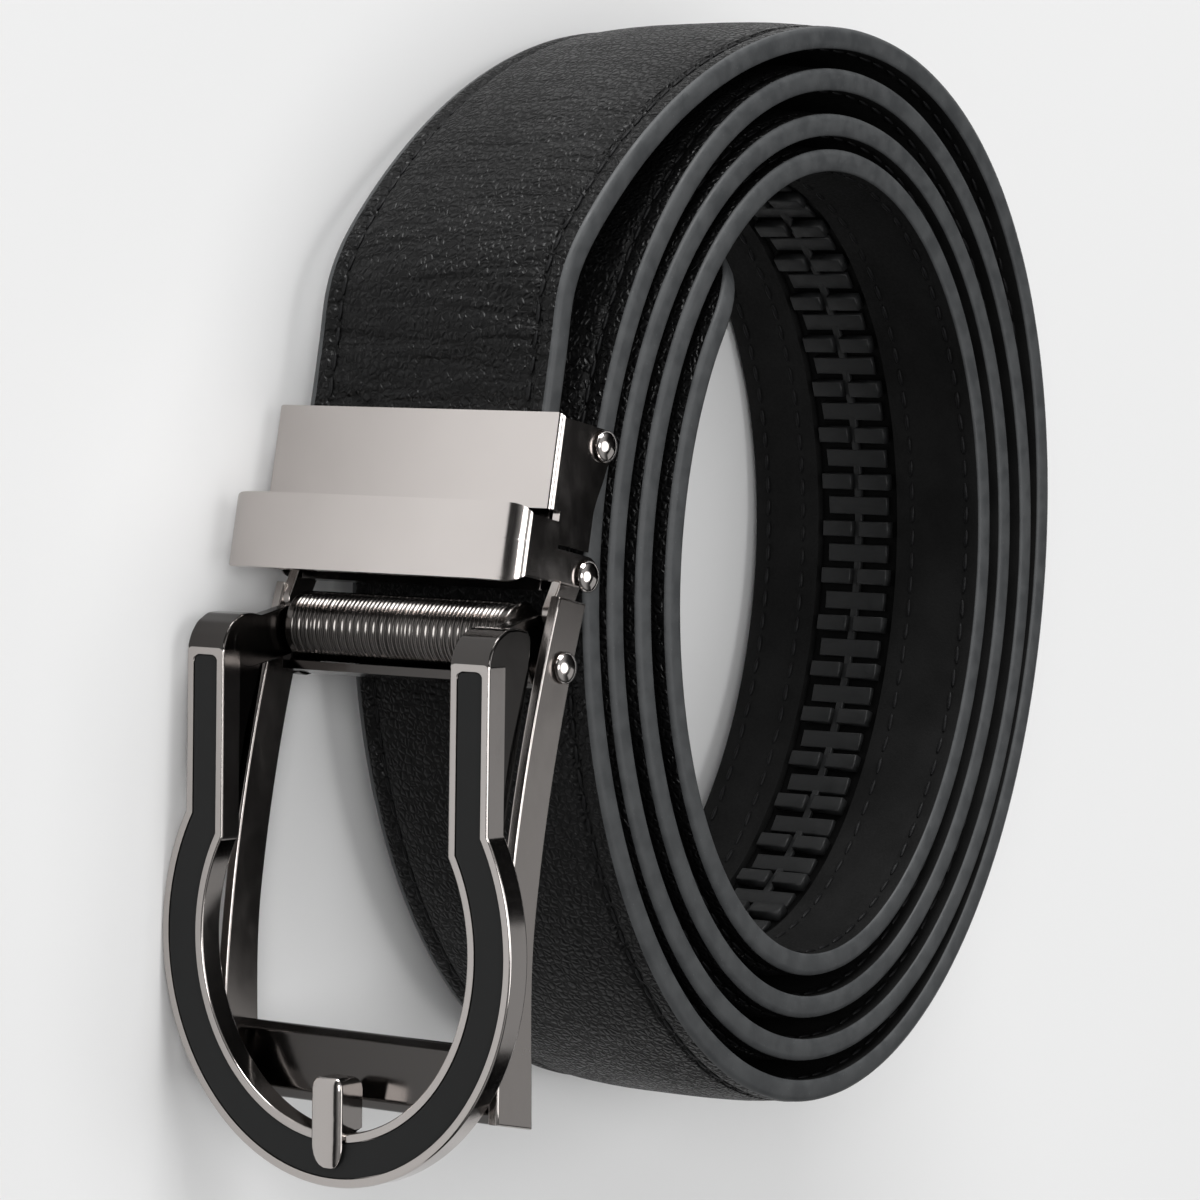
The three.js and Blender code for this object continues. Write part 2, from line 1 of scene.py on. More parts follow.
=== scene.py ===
"""A black leather ratchet belt wound into a roll, with a gunmetal buckle and its horseshoe lever.

Everything is drawn in millimetres in the roll's own upright frame, where the roll's axis is Z, and is carried
in one step to the place where the leaned roll rests.
"""

import logging
import math
from bisect import bisect_right
from dataclasses import asdict, dataclass, field
from enum import Enum
from functools import cached_property
from typing import Sequence

import bmesh
import bpy
from mathutils import Matrix, Vector, noise


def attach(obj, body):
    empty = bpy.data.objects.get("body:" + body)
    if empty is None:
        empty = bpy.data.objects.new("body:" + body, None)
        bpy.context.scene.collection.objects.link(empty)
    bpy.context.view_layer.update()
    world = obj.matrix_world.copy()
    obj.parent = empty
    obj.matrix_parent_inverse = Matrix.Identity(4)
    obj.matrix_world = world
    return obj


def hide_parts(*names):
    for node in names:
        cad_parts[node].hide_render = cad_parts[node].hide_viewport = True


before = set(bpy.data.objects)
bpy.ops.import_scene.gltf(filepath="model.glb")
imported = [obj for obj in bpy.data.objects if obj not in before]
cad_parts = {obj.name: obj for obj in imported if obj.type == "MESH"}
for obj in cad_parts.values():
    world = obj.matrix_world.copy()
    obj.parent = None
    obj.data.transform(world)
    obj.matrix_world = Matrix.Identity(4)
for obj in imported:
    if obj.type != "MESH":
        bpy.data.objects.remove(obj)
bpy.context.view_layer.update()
LOG = logging.getLogger("ratchet_belt")
MM = 0.001

Point2 = tuple[float, float]
Colour = tuple[float, float, float]
Mesh = bpy.types.Mesh
Material = bpy.types.Material
Object = bpy.types.Object
Socket = bpy.types.NodeSocket


class Body(Enum):
    """The two rigid bodies of the belt."""

    BELT = "belt"
    LEVER = "lever"


class Slot(Enum):
    """The record's material slots."""

    LEATHER = "leather"
    TRACK = "track"
    GUNMETAL = "gunmetal"
    ENAMEL = "enamel"


class Zone(Enum):
    """Which finish a strip of the strap's skin takes, by its material index."""

    FACE = 0
    EDGE = 1
    LINING = 2


def smoothstep(value: float, low: float, high: float) -> float:
    """Ease a value from 0 at low to 1 at high.

    Args:
        value: The place to read.
        low: Where the ramp starts.
        high: Where the ramp ends.

    Returns:
        The eased share from 0 to 1.
    """
    share = min(1.0, max(0.0, (value - low) / (high - low)))
    return share * share * (3.0 - 2.0 * share)


def mix(a: float, b: float, share: float) -> float:
    """Return the value a share of the way from a to b."""
    return a + (b - a) * share


# Finishes


class Graph:
    """A node tree under construction."""

    def __init__(self, tree: bpy.types.NodeTree) -> None:
        """Take up a tree."""
        self.tree = tree

    def feed(self, socket: Socket, value: object) -> None:
        """Fill an input.

        Args:
            socket: The input.
            value: Its own value, or the output to link into it.
        """
        if isinstance(value, Socket):
            self.tree.links.new(value, socket)
        else:
            socket.default_value = value

    def node(self, kind: str, inputs: dict[int | str, object] | None = None,
             **settings: object) -> bpy.types.Node:
        """Add a node.

        Args:
            kind: The node's type, a shader node's without its prefix.
            inputs: Values or output sockets for its inputs, by name or number.
            settings: Properties of the node.

        Returns:
            The node.
        """
        made = self.tree.nodes.new(kind if "Node" in kind else "ShaderNode" + kind)
        for key, value in settings.items():
            setattr(made, key, value)
        for key, value in (inputs or {}).items():
            self.feed(made.inputs[key], value)
        return made

    def math(self, operation: str, *values: object) -> Socket:
        """Combine values with a Math node and return its output."""
        return self.node("Math", dict(enumerate(values)), operation=operation).outputs[0]

    def plus(self, a: object, b: object) -> Socket:
        """Add two values and return the output."""
        return self.math("ADD", a, b)

    def minus(self, a: object, b: object) -> Socket:
        """Take the second value from the first and return the output."""
        return self.math("SUBTRACT", a, b)

    def times(self, a: object, b: object) -> Socket:
        """Multiply two values and return the output."""
        return self.math("MULTIPLY", a, b)

    def ramp(self, value: object, low: float, high: float, to_low: float, to_high: float) -> Socket:
        """Map a value's range smoothly onto another and return the output."""
        inputs = {"Value": value, "From Min": low, "From Max": high, "To Min": to_low, "To Max": to_high}
        return self.node("MapRange", inputs, interpolation_type="SMOOTHSTEP").outputs[0]


class Shader(Graph):
    """A material's node tree under construction, around one Principled shader."""

    def __init__(self, name: str, **sockets: object) -> None:
        """Start a material.

        Args:
            name: The material's name.
            sockets: Values for the Principled shader, by socket name with underscores for spaces.
        """
        self.material = bpy.data.materials.new(name)
        self.material.use_nodes = True
        super().__init__(self.material.node_tree)
        self.principled = self.tree.nodes["Principled BSDF"]
        self.where = self.node("TexCoord").outputs["Object"]
        self.dress(**sockets)

    def dress(self, **sockets: object) -> None:
        """Fill the Principled shader's sockets, by name with underscores for spaces."""
        for key, value in sockets.items():
            self.feed(self.principled.inputs[key.replace("_", " ")], value)

    def noise(self, scale: float, detail: float = 2.0, roughness: float = 0.5,
              where: Socket | None = None, distortion: float = 0.0) -> Socket:
        """Add a noise texture.

        Args:
            scale: Its waves in one metre.
            detail: How many finer layers it has.
            roughness: How strong they are.
            where: Its coordinates, the object's own if left out.
            distortion: How far it is smeared.

        Returns:
            Its value, from 0 to 1.
        """
        return self.node("TexNoise", {"Vector": where or self.where, "Scale": scale, "Detail": detail,
                                      "Roughness": roughness, "Distortion": distortion}).outputs[0]

    def cells(self, where: Socket, scale: float, feature: str = "F1") -> Socket:
        """Add a Voronoi texture and return its distance."""
        inputs = {"Vector": where, "Scale": scale, "Randomness": 0.95}
        return self.node("TexVoronoi", inputs, feature=feature).outputs["Distance"]

    def colour(self, share: Socket, low: Colour, high: Colour) -> None:
        """Paint the base colour from low, where the share is 0, to high, where it is 1."""
        made = self.node("Mix", {0: share, 6: (*low, 1.0), 7: (*high, 1.0)}, data_type="RGBA")
        self.dress(Base_Color=made.outputs[2])

    def bump(self, *layers: tuple[Socket, float, float]) -> None:
        """Stack bump layers onto the shader's normal.

        Args:
            layers: Height socket, depth in metres and strength of each layer.
        """
        for height, depth, strength in layers:
            made = self.node("Bump", {"Height": height, "Distance": depth, "Strength": strength})
            for link in self.principled.inputs["Normal"].links:
                self.feed(made.inputs["Normal"], link.from_socket)
            self.dress(Normal=made.outputs[0])


@dataclass(frozen=True)
class PebbledLeather:
    """Black full-grain leather: small pebbles parted by creases, and wrinkles across it near the clamp."""

    name: str = "pebbled_leather"
    dark: Colour = (0.0022, 0.0022, 0.0023)
    light: Colour = (0.0044, 0.0044, 0.0046)
    specular: float = 0.16
    roughness: float = 0.35
    crease_roughness: float = 0.25
    pebble: float = 0.9
    wander: float = 0.0007
    pore_share: float = 0.2
    depth: float = 0.00015
    wrinkle_spacing: float = 2.3
    wrinkle_stretch: float = 0.14
    wrinkled_until: float = 75.0
    near_share: float = 2.8
    far_share: float = 0.336

    def material(self) -> Material:
        """Return the finished material."""
        s = Shader(self.name, Specular_IOR_Level=self.specular)
        warp = s.node("TexNoise", {"Vector": s.where, "Scale": 900.0, "Detail": 1.0}).outputs["Color"]
        shift = s.node("VectorMath", {0: warp, "Scale": self.wander}, operation="SCALE").outputs[0]
        moved = s.node("VectorMath", {0: s.where, 1: shift}, operation="ADD").outputs[0]
        creases = s.cells(moved, 1000.0 / self.pebble, "DISTANCE_TO_EDGE")
        pebble_height_and_crease_shade = s.ramp(creases, 0.0, 0.36, 0.0, 1.0)
        # the creases are painted darker than the pebble tops: painted shade in the creases; the same ramp
        # also lifts the pebbles in the bump
        s.colour(pebble_height_and_crease_shade, self.dark, self.light)
        rough = s.ramp(creases, 0.0, 0.15, self.roughness + self.crease_roughness, self.roughness)
        s.dress(Roughness=s.plus(rough, s.ramp(s.noise(55.0), 0.3, 0.7, -0.05, 0.05)))
        belt = s.node("UVMap", uv_map="belt").outputs[0]
        along = s.node("SeparateXYZ", {0: belt}).outputs[0]
        across = s.node("Mapping", {"Vector": belt, "Scale": (1.0, self.wrinkle_stretch, 1.0)}).outputs[0]
        folds = s.noise(100.0 / self.wrinkle_spacing, where=across, distortion=0.5)
        near = s.ramp(along, 0.1, self.wrinkled_until / 100.0, self.near_share, self.far_share)
        wrinkles = s.times(s.ramp(folds, 0.3, 0.6, 0.0, 1.0), near)
        grain = s.plus(pebble_height_and_crease_shade, s.times(s.noise(2600.0, 1.0), self.pore_share))
        s.bump((s.plus(grain, wrinkles), self.depth, 1.0))
        return s.material


@dataclass(frozen=True)
class EdgePaint:
    """Satin grey paint on the strap's cut edges, with tiny pale specks."""

    name: str = "edge_paint"
    dark: Colour = (0.038, 0.04, 0.042)
    light: Colour = (0.078, 0.081, 0.083)
    specular: float = 0.3
    speck_share: float = 0.55
    depth: float = 0.00008

    def material(self) -> Material:
        """Return the finished material."""
        s = Shader(self.name, Specular_IOR_Level=self.specular)
        cloud = s.noise(380.0, 4.0, 0.6)
        specks = s.times(s.ramp(s.cells(s.where, 900.0), 0.05, 0.13, 1.0, 0.0), self.speck_share)
        s.colour(s.plus(s.ramp(cloud, 0.3, 0.7, 0.15, 0.6), specks), self.dark, self.light)
        s.dress(Roughness=s.ramp(cloud, 0.3, 0.7, 0.42, 0.6))
        s.bump((cloud, self.depth, 0.5), (s.noise(3000.0), self.depth / 4, 0.5))
        return s.material


@dataclass(frozen=True)
class Lining:
    """Matte black lining leather with a very fine nap."""

    name: str = "lining"
    dark: Colour = (0.0035, 0.0035, 0.0035)
    light: Colour = (0.0075, 0.0075, 0.0075)
    specular: float = 0.14
    depth: float = 0.00006

    def material(self) -> Material:
        """Return the finished material."""
        s = Shader(self.name, Specular_IOR_Level=self.specular)
        nap = s.noise(2600.0, 3.0, 0.6)
        s.colour(s.ramp(s.noise(120.0, 3.0), 0.3, 0.7, 0.0, 1.0), self.dark, self.light)
        s.dress(Roughness=s.ramp(nap, 0.3, 0.7, 0.62, 0.8))
        s.bump((nap, self.depth, 0.7))
        return s.material


@dataclass(frozen=True)
class Matte:
    """A dull finish with a clouded colour, and on most pieces a clouded gloss and a fine grain."""

    name: str
    dark: Colour
    light: Colour
    specular: float
    roughness: Point2
    cloud: float
    cloud_detail: float = 3.0
    grain: float = 0.0
    grain_detail: float = 3.0
    depth: float = 0.0
    strength: float = 0.5

    def material(self) -> Material:
        """Return the finished material."""
        s = Shader(self.name, Roughness=self.roughness[0], Specular_IOR_Level=self.specular)
        cloud = s.noise(self.cloud, self.cloud_detail)
        s.colour(cloud, self.dark, self.light)
        if self.roughness[0] != self.roughness[1]:
            s.dress(Roughness=s.ramp(cloud, 0.3, 0.7, *self.roughness))
        if self.grain:
            s.bump((s.noise(self.grain, self.grain_detail), self.depth, self.strength))
        return s.material


@dataclass(frozen=True)
class BlackNickel:
    """Polished black nickel with faint polishing marks and a soft cloudiness, its colour painted paler
    towards the top as a painted reflection.
    """

    name: str = "black_nickel"
    dark: Colour = (0.39, 0.362, 0.347)
    light: Colour = (0.76, 0.712, 0.686)
    roughness: float = 0.13
    # fall is how much of the colour is painted reflection, painted paler with height between the two heights
    # below
    fall: float = 0.8
    fall_low: float = 0.002
    fall_high: float = 0.04

    def material(self) -> Material:
        """Return the finished material."""
        s = Shader(self.name, Metallic=1.0)
        cloud = s.noise(90.0, 3.0)
        stretched = s.node("Mapping", {"Vector": s.where, "Scale": (0.25, 0.12, 3.0)}).outputs[0]
        marks = s.noise(1900.0, 3.0, 0.6, stretched)
        # painted reflection: the base colour is painted paler with height above the floor
        height = s.node("SeparateXYZ", {0: s.where}).outputs[2]
        rise = s.ramp(height, self.fall_low, self.fall_high, 0.0, self.fall)
        s.colour(s.plus(s.times(cloud, 1 - self.fall), rise), self.dark, self.light)
        s.dress(Roughness=s.plus(s.ramp(cloud, 0.3, 0.7, self.roughness - 0.03, self.roughness + 0.05),
                                 s.ramp(marks, 0.35, 0.75, -0.01, 0.03)))
        s.bump((marks, 0.000004, 0.3), (s.noise(420.0), 0.000008, 0.3))
        return s.material


class Finish(Enum):
    """Each finish of the belt, with the record's slot that it fills; the pit finish is the track's sunken
    base, a darker copy of the nylon painted as shade in the pits between the teeth.
    """

    LEATHER = (Slot.LEATHER, PebbledLeather())
    EDGE = (Slot.LEATHER, EdgePaint())
    LINING = (Slot.LEATHER, Lining())
    THREAD = (Slot.LEATHER, Matte(
        "waxed_thread", (0.0022, 0.0022, 0.0024), (0.00704, 0.00704, 0.00768), specular=0.16,
        roughness=(0.5, 0.5), cloud=1500.0, cloud_detail=2.0, grain=4500.0, grain_detail=1.0, depth=0.00008,
        strength=0.6))
    NYLON = (Slot.TRACK, Matte(
        "moulded_nylon", (0.0075, 0.0078, 0.008), (0.0145, 0.015, 0.0155), specular=0.28,
        roughness=(0.42, 0.58), cloud=700.0, grain=2400.0, depth=0.00004))
    # a darker copy of the nylon: painted shade for the track's sunken base between the teeth
    PIT = (Slot.TRACK, Matte(
        "nylon_pit", (0.0012, 0.0012, 0.0012), (0.0024, 0.0024, 0.0024), specular=0.05,
        roughness=(0.42, 0.58), cloud=700.0, grain=2400.0, depth=0.00004))
    NICKEL = (Slot.GUNMETAL, BlackNickel())
    SMOKED_NICKEL = (Slot.GUNMETAL, BlackNickel(
        "smoked_nickel", (0.42, 0.392, 0.375), (0.5, 0.468, 0.45), 0.12))
    SATIN_NICKEL = (Slot.GUNMETAL, BlackNickel(
        "satin_nickel", (0.4, 0.37, 0.352), (0.48, 0.446, 0.426), 0.2))
    # a darker copy of the same nickel for the ribbed barrel: painted shade
    BARREL_NICKEL = (Slot.GUNMETAL, BlackNickel(
        "barrel_nickel", (0.11, 0.102, 0.097), (0.15, 0.14, 0.134), 0.18))
    # a much darker copy of the same nickel for the jaw, the bottom bar and the arms: painted shade
    DARK_NICKEL = (Slot.GUNMETAL, BlackNickel(
        "dark_nickel", (0.055, 0.051, 0.049), (0.085, 0.08, 0.077), 0.14))
    ENAMEL = (Slot.ENAMEL, Matte(
        "satin_enamel", (0.0045, 0.0048, 0.0048), (0.0085, 0.009, 0.009), specular=0.24,
        roughness=(0.4, 0.52), cloud=260.0, grain=2100.0, depth=0.00002, strength=0.45))

    @property
    def slot(self) -> Slot:
        """The record's slot."""
        return self.value[0]

    @property
    def material(self) -> Material:
        """The material, made when first asked for."""
        return bpy.data.materials.get(self.value[1].name) or self.value[1].material()


# Meshes


@dataclass
class Draft:
    """Corners and faces that a piece's mesh is collected from, in millimetres."""

    corners: list[Vector] = field(default_factory=list)
    faces: list[tuple[int, ...]] = field(default_factory=list)
    zones: list[int] = field(default_factory=list)
    places: list[Point2] = field(default_factory=list)

    def loft(self, rings: Sequence[Sequence[Vector]], zones: Sequence[int] | None = None,
             places: Sequence[Sequence[Point2]] | None = None) -> None:
        """Join closed rings of equal count into one capped skin.

        Args:
            rings: The rings in order.
            zones: The material index of the strip after each point of a ring, 0 if left out.
            places: A texture place for each point of each ring.
        """
        start, count = len(self.corners), len(rings[0])
        for n, ring in enumerate(rings):
            self.corners.extend(ring)
            self.places.extend(places[n] if places else [(0.0, 0.0)] * count)
        for j in range(len(rings) - 1):
            low = start + j * count
            for i in range(count):
                k = (i + 1) % count
                self.faces.append((low + i, low + k, low + count + k, low + count + i))
                self.zones.append(zones[i] if zones else 0)
        end = start + (len(rings) - 1) * count
        self.faces.append(tuple(range(start, start + count)))
        self.faces.append(tuple(range(end + count - 1, end - 1, -1)))
        self.zones.extend([zones[0] if zones else 0] * 2)

    def slab(self, outline: Sequence[Point2], low: float, high: float, edge: float, matrix: Matrix,
             steps: int = 3) -> None:
        """Add a plate with rounded edges.

        Args:
            outline: The plate's outline in its own plane.
            low: Height of its lower face.
            high: Height of its upper face.
            edge: Radius of its edges.
            matrix: Carries plane and height to the roll frame.
            steps: How many facets round each edge.
        """
        angles = [math.pi / 2 * k / steps for k in range(steps + 1)]
        curve = [(edge * (1 - math.sin(a)), edge * (1 - math.cos(a))) for a in angles]
        rings = [(by, low + up) for by, up in curve] + [(by, high - up) for by, up in reversed(curve)]
        self.loft([[matrix @ Vector((x, y, height)) for x, y in inset(outline, by)] for by, height in rings])

    def pair(self, outline: Sequence[Point2], low: float, high: float, edge: float, matrix: Matrix) -> None:
        """Add a plate on each side of the middle, at the same distance from it."""
        self.slab(outline, -high, -low, edge, matrix)
        self.slab(outline, low, high, edge, matrix)

    def mesh(self, name: str) -> Mesh:
        """Return the collected mesh, with its faces turned outwards and its texture places in a UV map.

        Args:
            name: The mesh's name.

        Returns:
            The mesh.
        """
        made = bpy.data.meshes.new(name)
        made.from_pydata(self.corners, [], self.faces)
        made.polygons.foreach_set("material_index", self.zones)
        if any(place != (0.0, 0.0) for place in self.places):
            layer = made.uv_layers.new(name="belt")
            for loop in made.loops:
                layer.data[loop.index].uv = self.places[loop.vertex_index]
        return turned_out(made)


def turned_out(mesh: Mesh, close: bool = False) -> Mesh:
    """Turn a mesh's faces outwards.

    Args:
        mesh: The mesh.
        close: Whether its open rims are filled first.

    Returns:
        The same mesh.
    """
    edit = bmesh.new()
    edit.from_mesh(mesh)
    if close:
        bmesh.ops.holes_fill(edit, edges=[e for e in edit.edges if e.is_boundary], sides=0)
    bmesh.ops.recalc_face_normals(edit, faces=edit.faces)
    edit.to_mesh(mesh)
    edit.free()
    return mesh


def shaded(mesh: Mesh, sharp: float) -> Mesh:
    """Shade a mesh smooth but for its sharper edges.

    Args:
        mesh: The mesh.
        sharp: Edges that turn by more than this many degrees stay sharp.

    Returns:
        The same mesh.
    """
    mesh.shade_smooth()
    mesh.set_sharp_from_angle(angle=math.radians(sharp))
    return mesh


def joined(meshes: Sequence[Mesh], name: str) -> Mesh:
    """Join meshes into one and use them up.

    Args:
        meshes: The meshes, in one frame.
        name: The new mesh's name.

    Returns:
        The joined mesh.
    """
    whole = bmesh.new()
    for mesh in meshes:
        whole.from_mesh(mesh)
        bpy.data.meshes.remove(mesh)
    made = bpy.data.meshes.new(name)
    whole.to_mesh(made)
    whole.free()
    return made


def inset(outline: Sequence[Point2], by: float) -> list[Point2]:
    """Draw a closed outline inwards.

    Args:
        outline: Its corners, either way round.
        by: How far in, in millimetres.

    Returns:
        The same number of corners, inside the outline.
    """
    count = len(outline)
    area = sum(a[0] * b[1] - b[0] * a[1] for a, b in zip(outline, [*outline[1:], outline[0]]))
    side = 1.0 if area > 0 else -1.0
    made = []
    for i, (x, y) in enumerate(outline):
        before, after = outline[i - 1], outline[(i + 1) % count]
        one = Vector((x - before[0], y - before[1])).normalized()
        two = Vector((after[0] - x, after[1] - y)).normalized()
        across = Vector((-one.y - two.y, one.x + two.x))
        reach = max(0.35, across.length / 2)
        across = across.normalized() * (by / reach) * side if across.length > 1e-6 else Vector((0.0, 0.0))
        made.append((x + across.x, y + across.y))
    return made


def arc(centre: Point2, radius: float, start: float, end: float, steps: int) -> list[Point2]:
    """Return points on a circle's arc.

    Args:
        centre: The circle's middle.
        radius: Its radius.
        start: The first angle in degrees.
        end: The last angle in degrees.
        steps: How many chords.

    Returns:
        The points, one more than the chords.
    """
    angles = [math.radians(mix(start, end, k / steps)) for k in range(steps + 1)]
    return [(centre[0] + radius * math.cos(a), centre[1] + radius * math.sin(a)) for a in angles]


def link_outline(a: Point2, a_radius: float, b: Point2, b_radius: float, steps: int = 10) -> list[Point2]:
    """Return the outline drawn tightly round two circles.

    Args:
        a: The first circle's middle.
        a_radius: Its radius.
        b: The second circle's middle.
        b_radius: Its radius.
        steps: Chords on each round end.

    Returns:
        The closed outline's corners.
    """
    heading = math.degrees(math.atan2(b[1] - a[1], b[0] - a[0]))
    turn = math.degrees(math.acos((a_radius - b_radius) / math.dist(a, b)))
    return [*arc(b, b_radius, heading - turn, heading + turn, steps),
            *arc(a, a_radius, heading + turn, heading - turn + 360, steps)]


def rounded(corners: Sequence[Point2], radii: Sequence[float], steps: int = 5) -> list[Point2]:
    """Round the corners of a closed outline.

    Args:
        corners: The sharp corners.
        radii: How far each rounding reaches from its corner along both sides.
        steps: Chords on each rounding.

    Returns:
        The rounded outline's corners.
    """
    made: list[Point2] = []
    for i, (x, y) in enumerate(corners):
        if radii[i] <= 0:
            made.append((x, y))
            continue
        here = Vector((x, y))
        start = here + (Vector(corners[i - 1]) - here).normalized() * radii[i]
        end = here + (Vector(corners[(i + 1) % len(corners)]) - here).normalized() * radii[i]
        for k in range(steps + 1):
            t = k / steps
            made.append(tuple(start * (1 - t) ** 2 + here * 2 * t * (1 - t) + end * t * t))
    return made


def baked(obj: Object) -> Mesh:
    """Turn an object with its modifiers into a plain mesh, and remove the object.

    Args:
        obj: The object with live modifiers.

    Returns:
        The evaluated mesh.
    """
    graph = bpy.context.evaluated_depsgraph_get()
    graph.update()
    made = bpy.data.meshes.new_from_object(obj.evaluated_get(graph), preserve_all_data_layers=True,
                                           depsgraph=graph)
    bpy.data.objects.remove(obj, do_unlink=True)
    return made


def posed(name: str, mesh: Mesh) -> Object:
    """Put a mesh into the scene, at the origin.

    Args:
        name: The object's name.
        mesh: Its mesh.

    Returns:
        The object.
    """
    obj = bpy.data.objects.new(name, mesh)
    bpy.context.scene.collection.objects.link(obj)
    return obj


@dataclass(frozen=True)
class RestPose:
    """How the roll leans and where it stands when it rests on the lever's side and its own lower edge."""

    tilt: float = 3.357005
    heading: float = 33.5
    shift: tuple[float, float, float] = (11.2068, 2.4117, 20.8935)

    def turn(self) -> Matrix:
        """Return the lean alone."""
        heading = math.radians(self.heading)
        axis = Vector((-math.sin(heading), math.cos(heading), 0.0))
        return Matrix.Rotation(math.radians(self.tilt), 4, axis)

    def matrix(self) -> Matrix:
        """Return the step from millimetres in the roll frame to metres at rest."""
        return Matrix.Translation(Vector(self.shift) * MM) @ self.turn() @ Matrix.Scale(MM, 4)


@dataclass
class Bench:
    """Finishes meshes and hands them over as pieces of the belt."""

    pose: RestPose
    sharp: float = 48.0
    made: list[str] = field(default_factory=list)

    def deliver(self, name: str, mesh: Mesh, body: Body, finishes: Sequence[Finish], *nodes: str) -> None:
        """Carry a mesh to its place at rest and register it.

        Args:
            name: The piece's name.
            mesh: Its mesh in the roll frame.
            body: The body that it moves with.
            finishes: Its finishes, by material index.
            nodes: The solids that it stands for.
        """
        mesh.name = name
        mesh.transform(self.pose.matrix())
        for index, finish in enumerate(finishes):
            if index < len(mesh.materials):
                mesh.materials[index] = finish.material
            else:
                mesh.materials.append(finish.material)
        obj = posed(name, mesh)
        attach(obj, body.value)
        if nodes:
            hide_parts(*nodes)
        self.made.append(name)
        LOG.info("%s: %d faces, rides on %s", name, len(mesh.polygons), body.value)

    def metal(self, name: str, mesh: Mesh, body: Body, finish: Finish, *nodes: str) -> None:
        """Shade a metal mesh so that its flats stay flat and its edges round, and deliver it.

        Args:
            name: The piece's name.
            mesh: Its mesh in the roll frame.
            body: The body that it moves with.
            finish: Its finish.
            nodes: The solids that it stands for.
        """
        obj = posed("shading", shaded(mesh, self.sharp))
        modifier = obj.modifiers.new("flats", "WEIGHTED_NORMAL")
        modifier.keep_sharp = True
        modifier.weight = 80
        self.deliver(name, baked(obj), body, [finish], *nodes)


# Geometry Nodes


class NodeTree(Graph):
    """A Geometry Nodes tree under construction, with named inputs."""

    def __init__(self, name: str, **inputs: Sequence[str]) -> None:
        """Start a tree.

        Args:
            name: The tree's name.
            inputs: The names of its inputs, by the type of their sockets.
        """
        self.group = bpy.data.node_groups.new(name, "GeometryNodeTree")
        self.group.is_modifier = True
        super().__init__(self.group)
        face = self.group.interface
        for way in ("INPUT", "OUTPUT"):
            face.new_socket(name="Geometry", in_out=way, socket_type="NodeSocketGeometry")
        self.sockets = {key: face.new_socket(name=key, in_out="INPUT", socket_type="NodeSocket" + kind)
                        for kind, keys in inputs.items() for key in keys}
        self.start, self.end = self.node("NodeGroupInput"), self.node("NodeGroupOutput")

    def __getitem__(self, name: str) -> Socket:
        """Return the named input's socket inside the tree."""
        return self.start.outputs[name]

    def vector(self, x: object, y: object, z: object) -> Socket:
        """Combine three values into a vector and return it."""
        return self.node("CombineXYZ", {0: x, 1: y, 2: z}).outputs[0]

    def curve(self, **spacing: Socket) -> Socket:
        """Turn the input's path into a curve and space its points anew.

        Args:
            spacing: The points' Length apart, or their Count.

        Returns:
            The curve.
        """
        path = self.node("GeometryNodeMeshToCurve", {"Mesh": self["Geometry"]}).outputs[0]
        mode = next(iter(spacing)).upper()
        return self.node("GeometryNodeResampleCurve", {"Curve": path, **spacing}, mode=mode).outputs[0]

    def finish(self, geometry: Socket) -> None:
        """End the tree with what it has made: real, smooth and dressed.

        Args:
            geometry: The instances or the mesh.
        """
        real = self.node("GeometryNodeRealizeInstances", {"Geometry": geometry}).outputs[0]
        smooth = self.node("GeometryNodeSetShadeSmooth", {"Geometry": real, "Shade Smooth": True}).outputs[0]
        dressed = self.node("GeometryNodeSetMaterial", {"Geometry": smooth, "Material": self["Material"]})
        self.feed(self.end.inputs[0], dressed.outputs[0])

    def run(self, obj: Object, **values: object) -> Mesh:
        """Run the tree on an object and return the plain mesh.

        Args:
            obj: The object that carries the tree's input geometry. It is used up.
            values: The inputs' values, by name in lower case with underscores for spaces.

        Returns:
            The mesh that the tree makes.
        """
        modifier = obj.modifiers.new(self.group.name, "NODES")
        modifier.node_group = self.group
        for key, value in values.items():
            modifier[self.sockets[key.replace("_", " ").title()].identifier] = value
        return baked(obj)


@dataclass
class Path:
    """A line of points on a surface, with the direction that the surface faces at each."""

    points: list[Vector]
    facings: list[Vector]

    def carrier(self) -> Object:
        """Return a mesh object of edges through the points, with the attribute "facing"."""
        mesh = bpy.data.meshes.new("path")
        mesh.from_pydata(self.points, [(i, i + 1) for i in range(len(self.points) - 1)], [])
        attribute = mesh.attributes.new("facing", "FLOAT_VECTOR", "POINT")
        attribute.data.foreach_set("vector", [v for facing in self.facings for v in facing])
        return posed("path", mesh)


def along_path(tree: NodeTree, points: Socket, unit: Socket, scale: object,
               sway: object) -> Socket:
    """Set a unit on each point of a curve, its X along the curve and its Z the way the surface faces.

    Args:
        tree: The tree.
        points: The resampled curve.
        unit: The instance.
        scale: The instances' scale.
        sway: A turn about Z for each, in radians.

    Returns:
        The instances.
    """
    tangent = tree.node("GeometryNodeInputTangent").outputs[0]
    facing = tree.node("GeometryNodeInputNamedAttribute", {"Name": "facing"},
                       data_type="FLOAT_VECTOR").outputs[0]
    along = tree.node("FunctionNodeAlignRotationToVector", {"Vector": tangent}, axis="X")
    up = tree.node("FunctionNodeAlignRotationToVector", {"Rotation": along.outputs[0], "Vector": facing},
                   axis="Z", pivot_axis="X")
    turn = tree.node("FunctionNodeEulerToRotation", {0: tree.vector(0.0, 0.0, sway)})
    turned = tree.node("FunctionNodeRotateRotation",
                       {"Rotation": up.outputs[0], "Rotate By": turn.outputs[0]}, rotation_space="LOCAL")
    placed = tree.node("GeometryNodeInstanceOnPoints",
                       {"Points": points, "Instance": unit, "Rotation": turned.outputs[0], "Scale": scale})
    return placed.outputs[0]


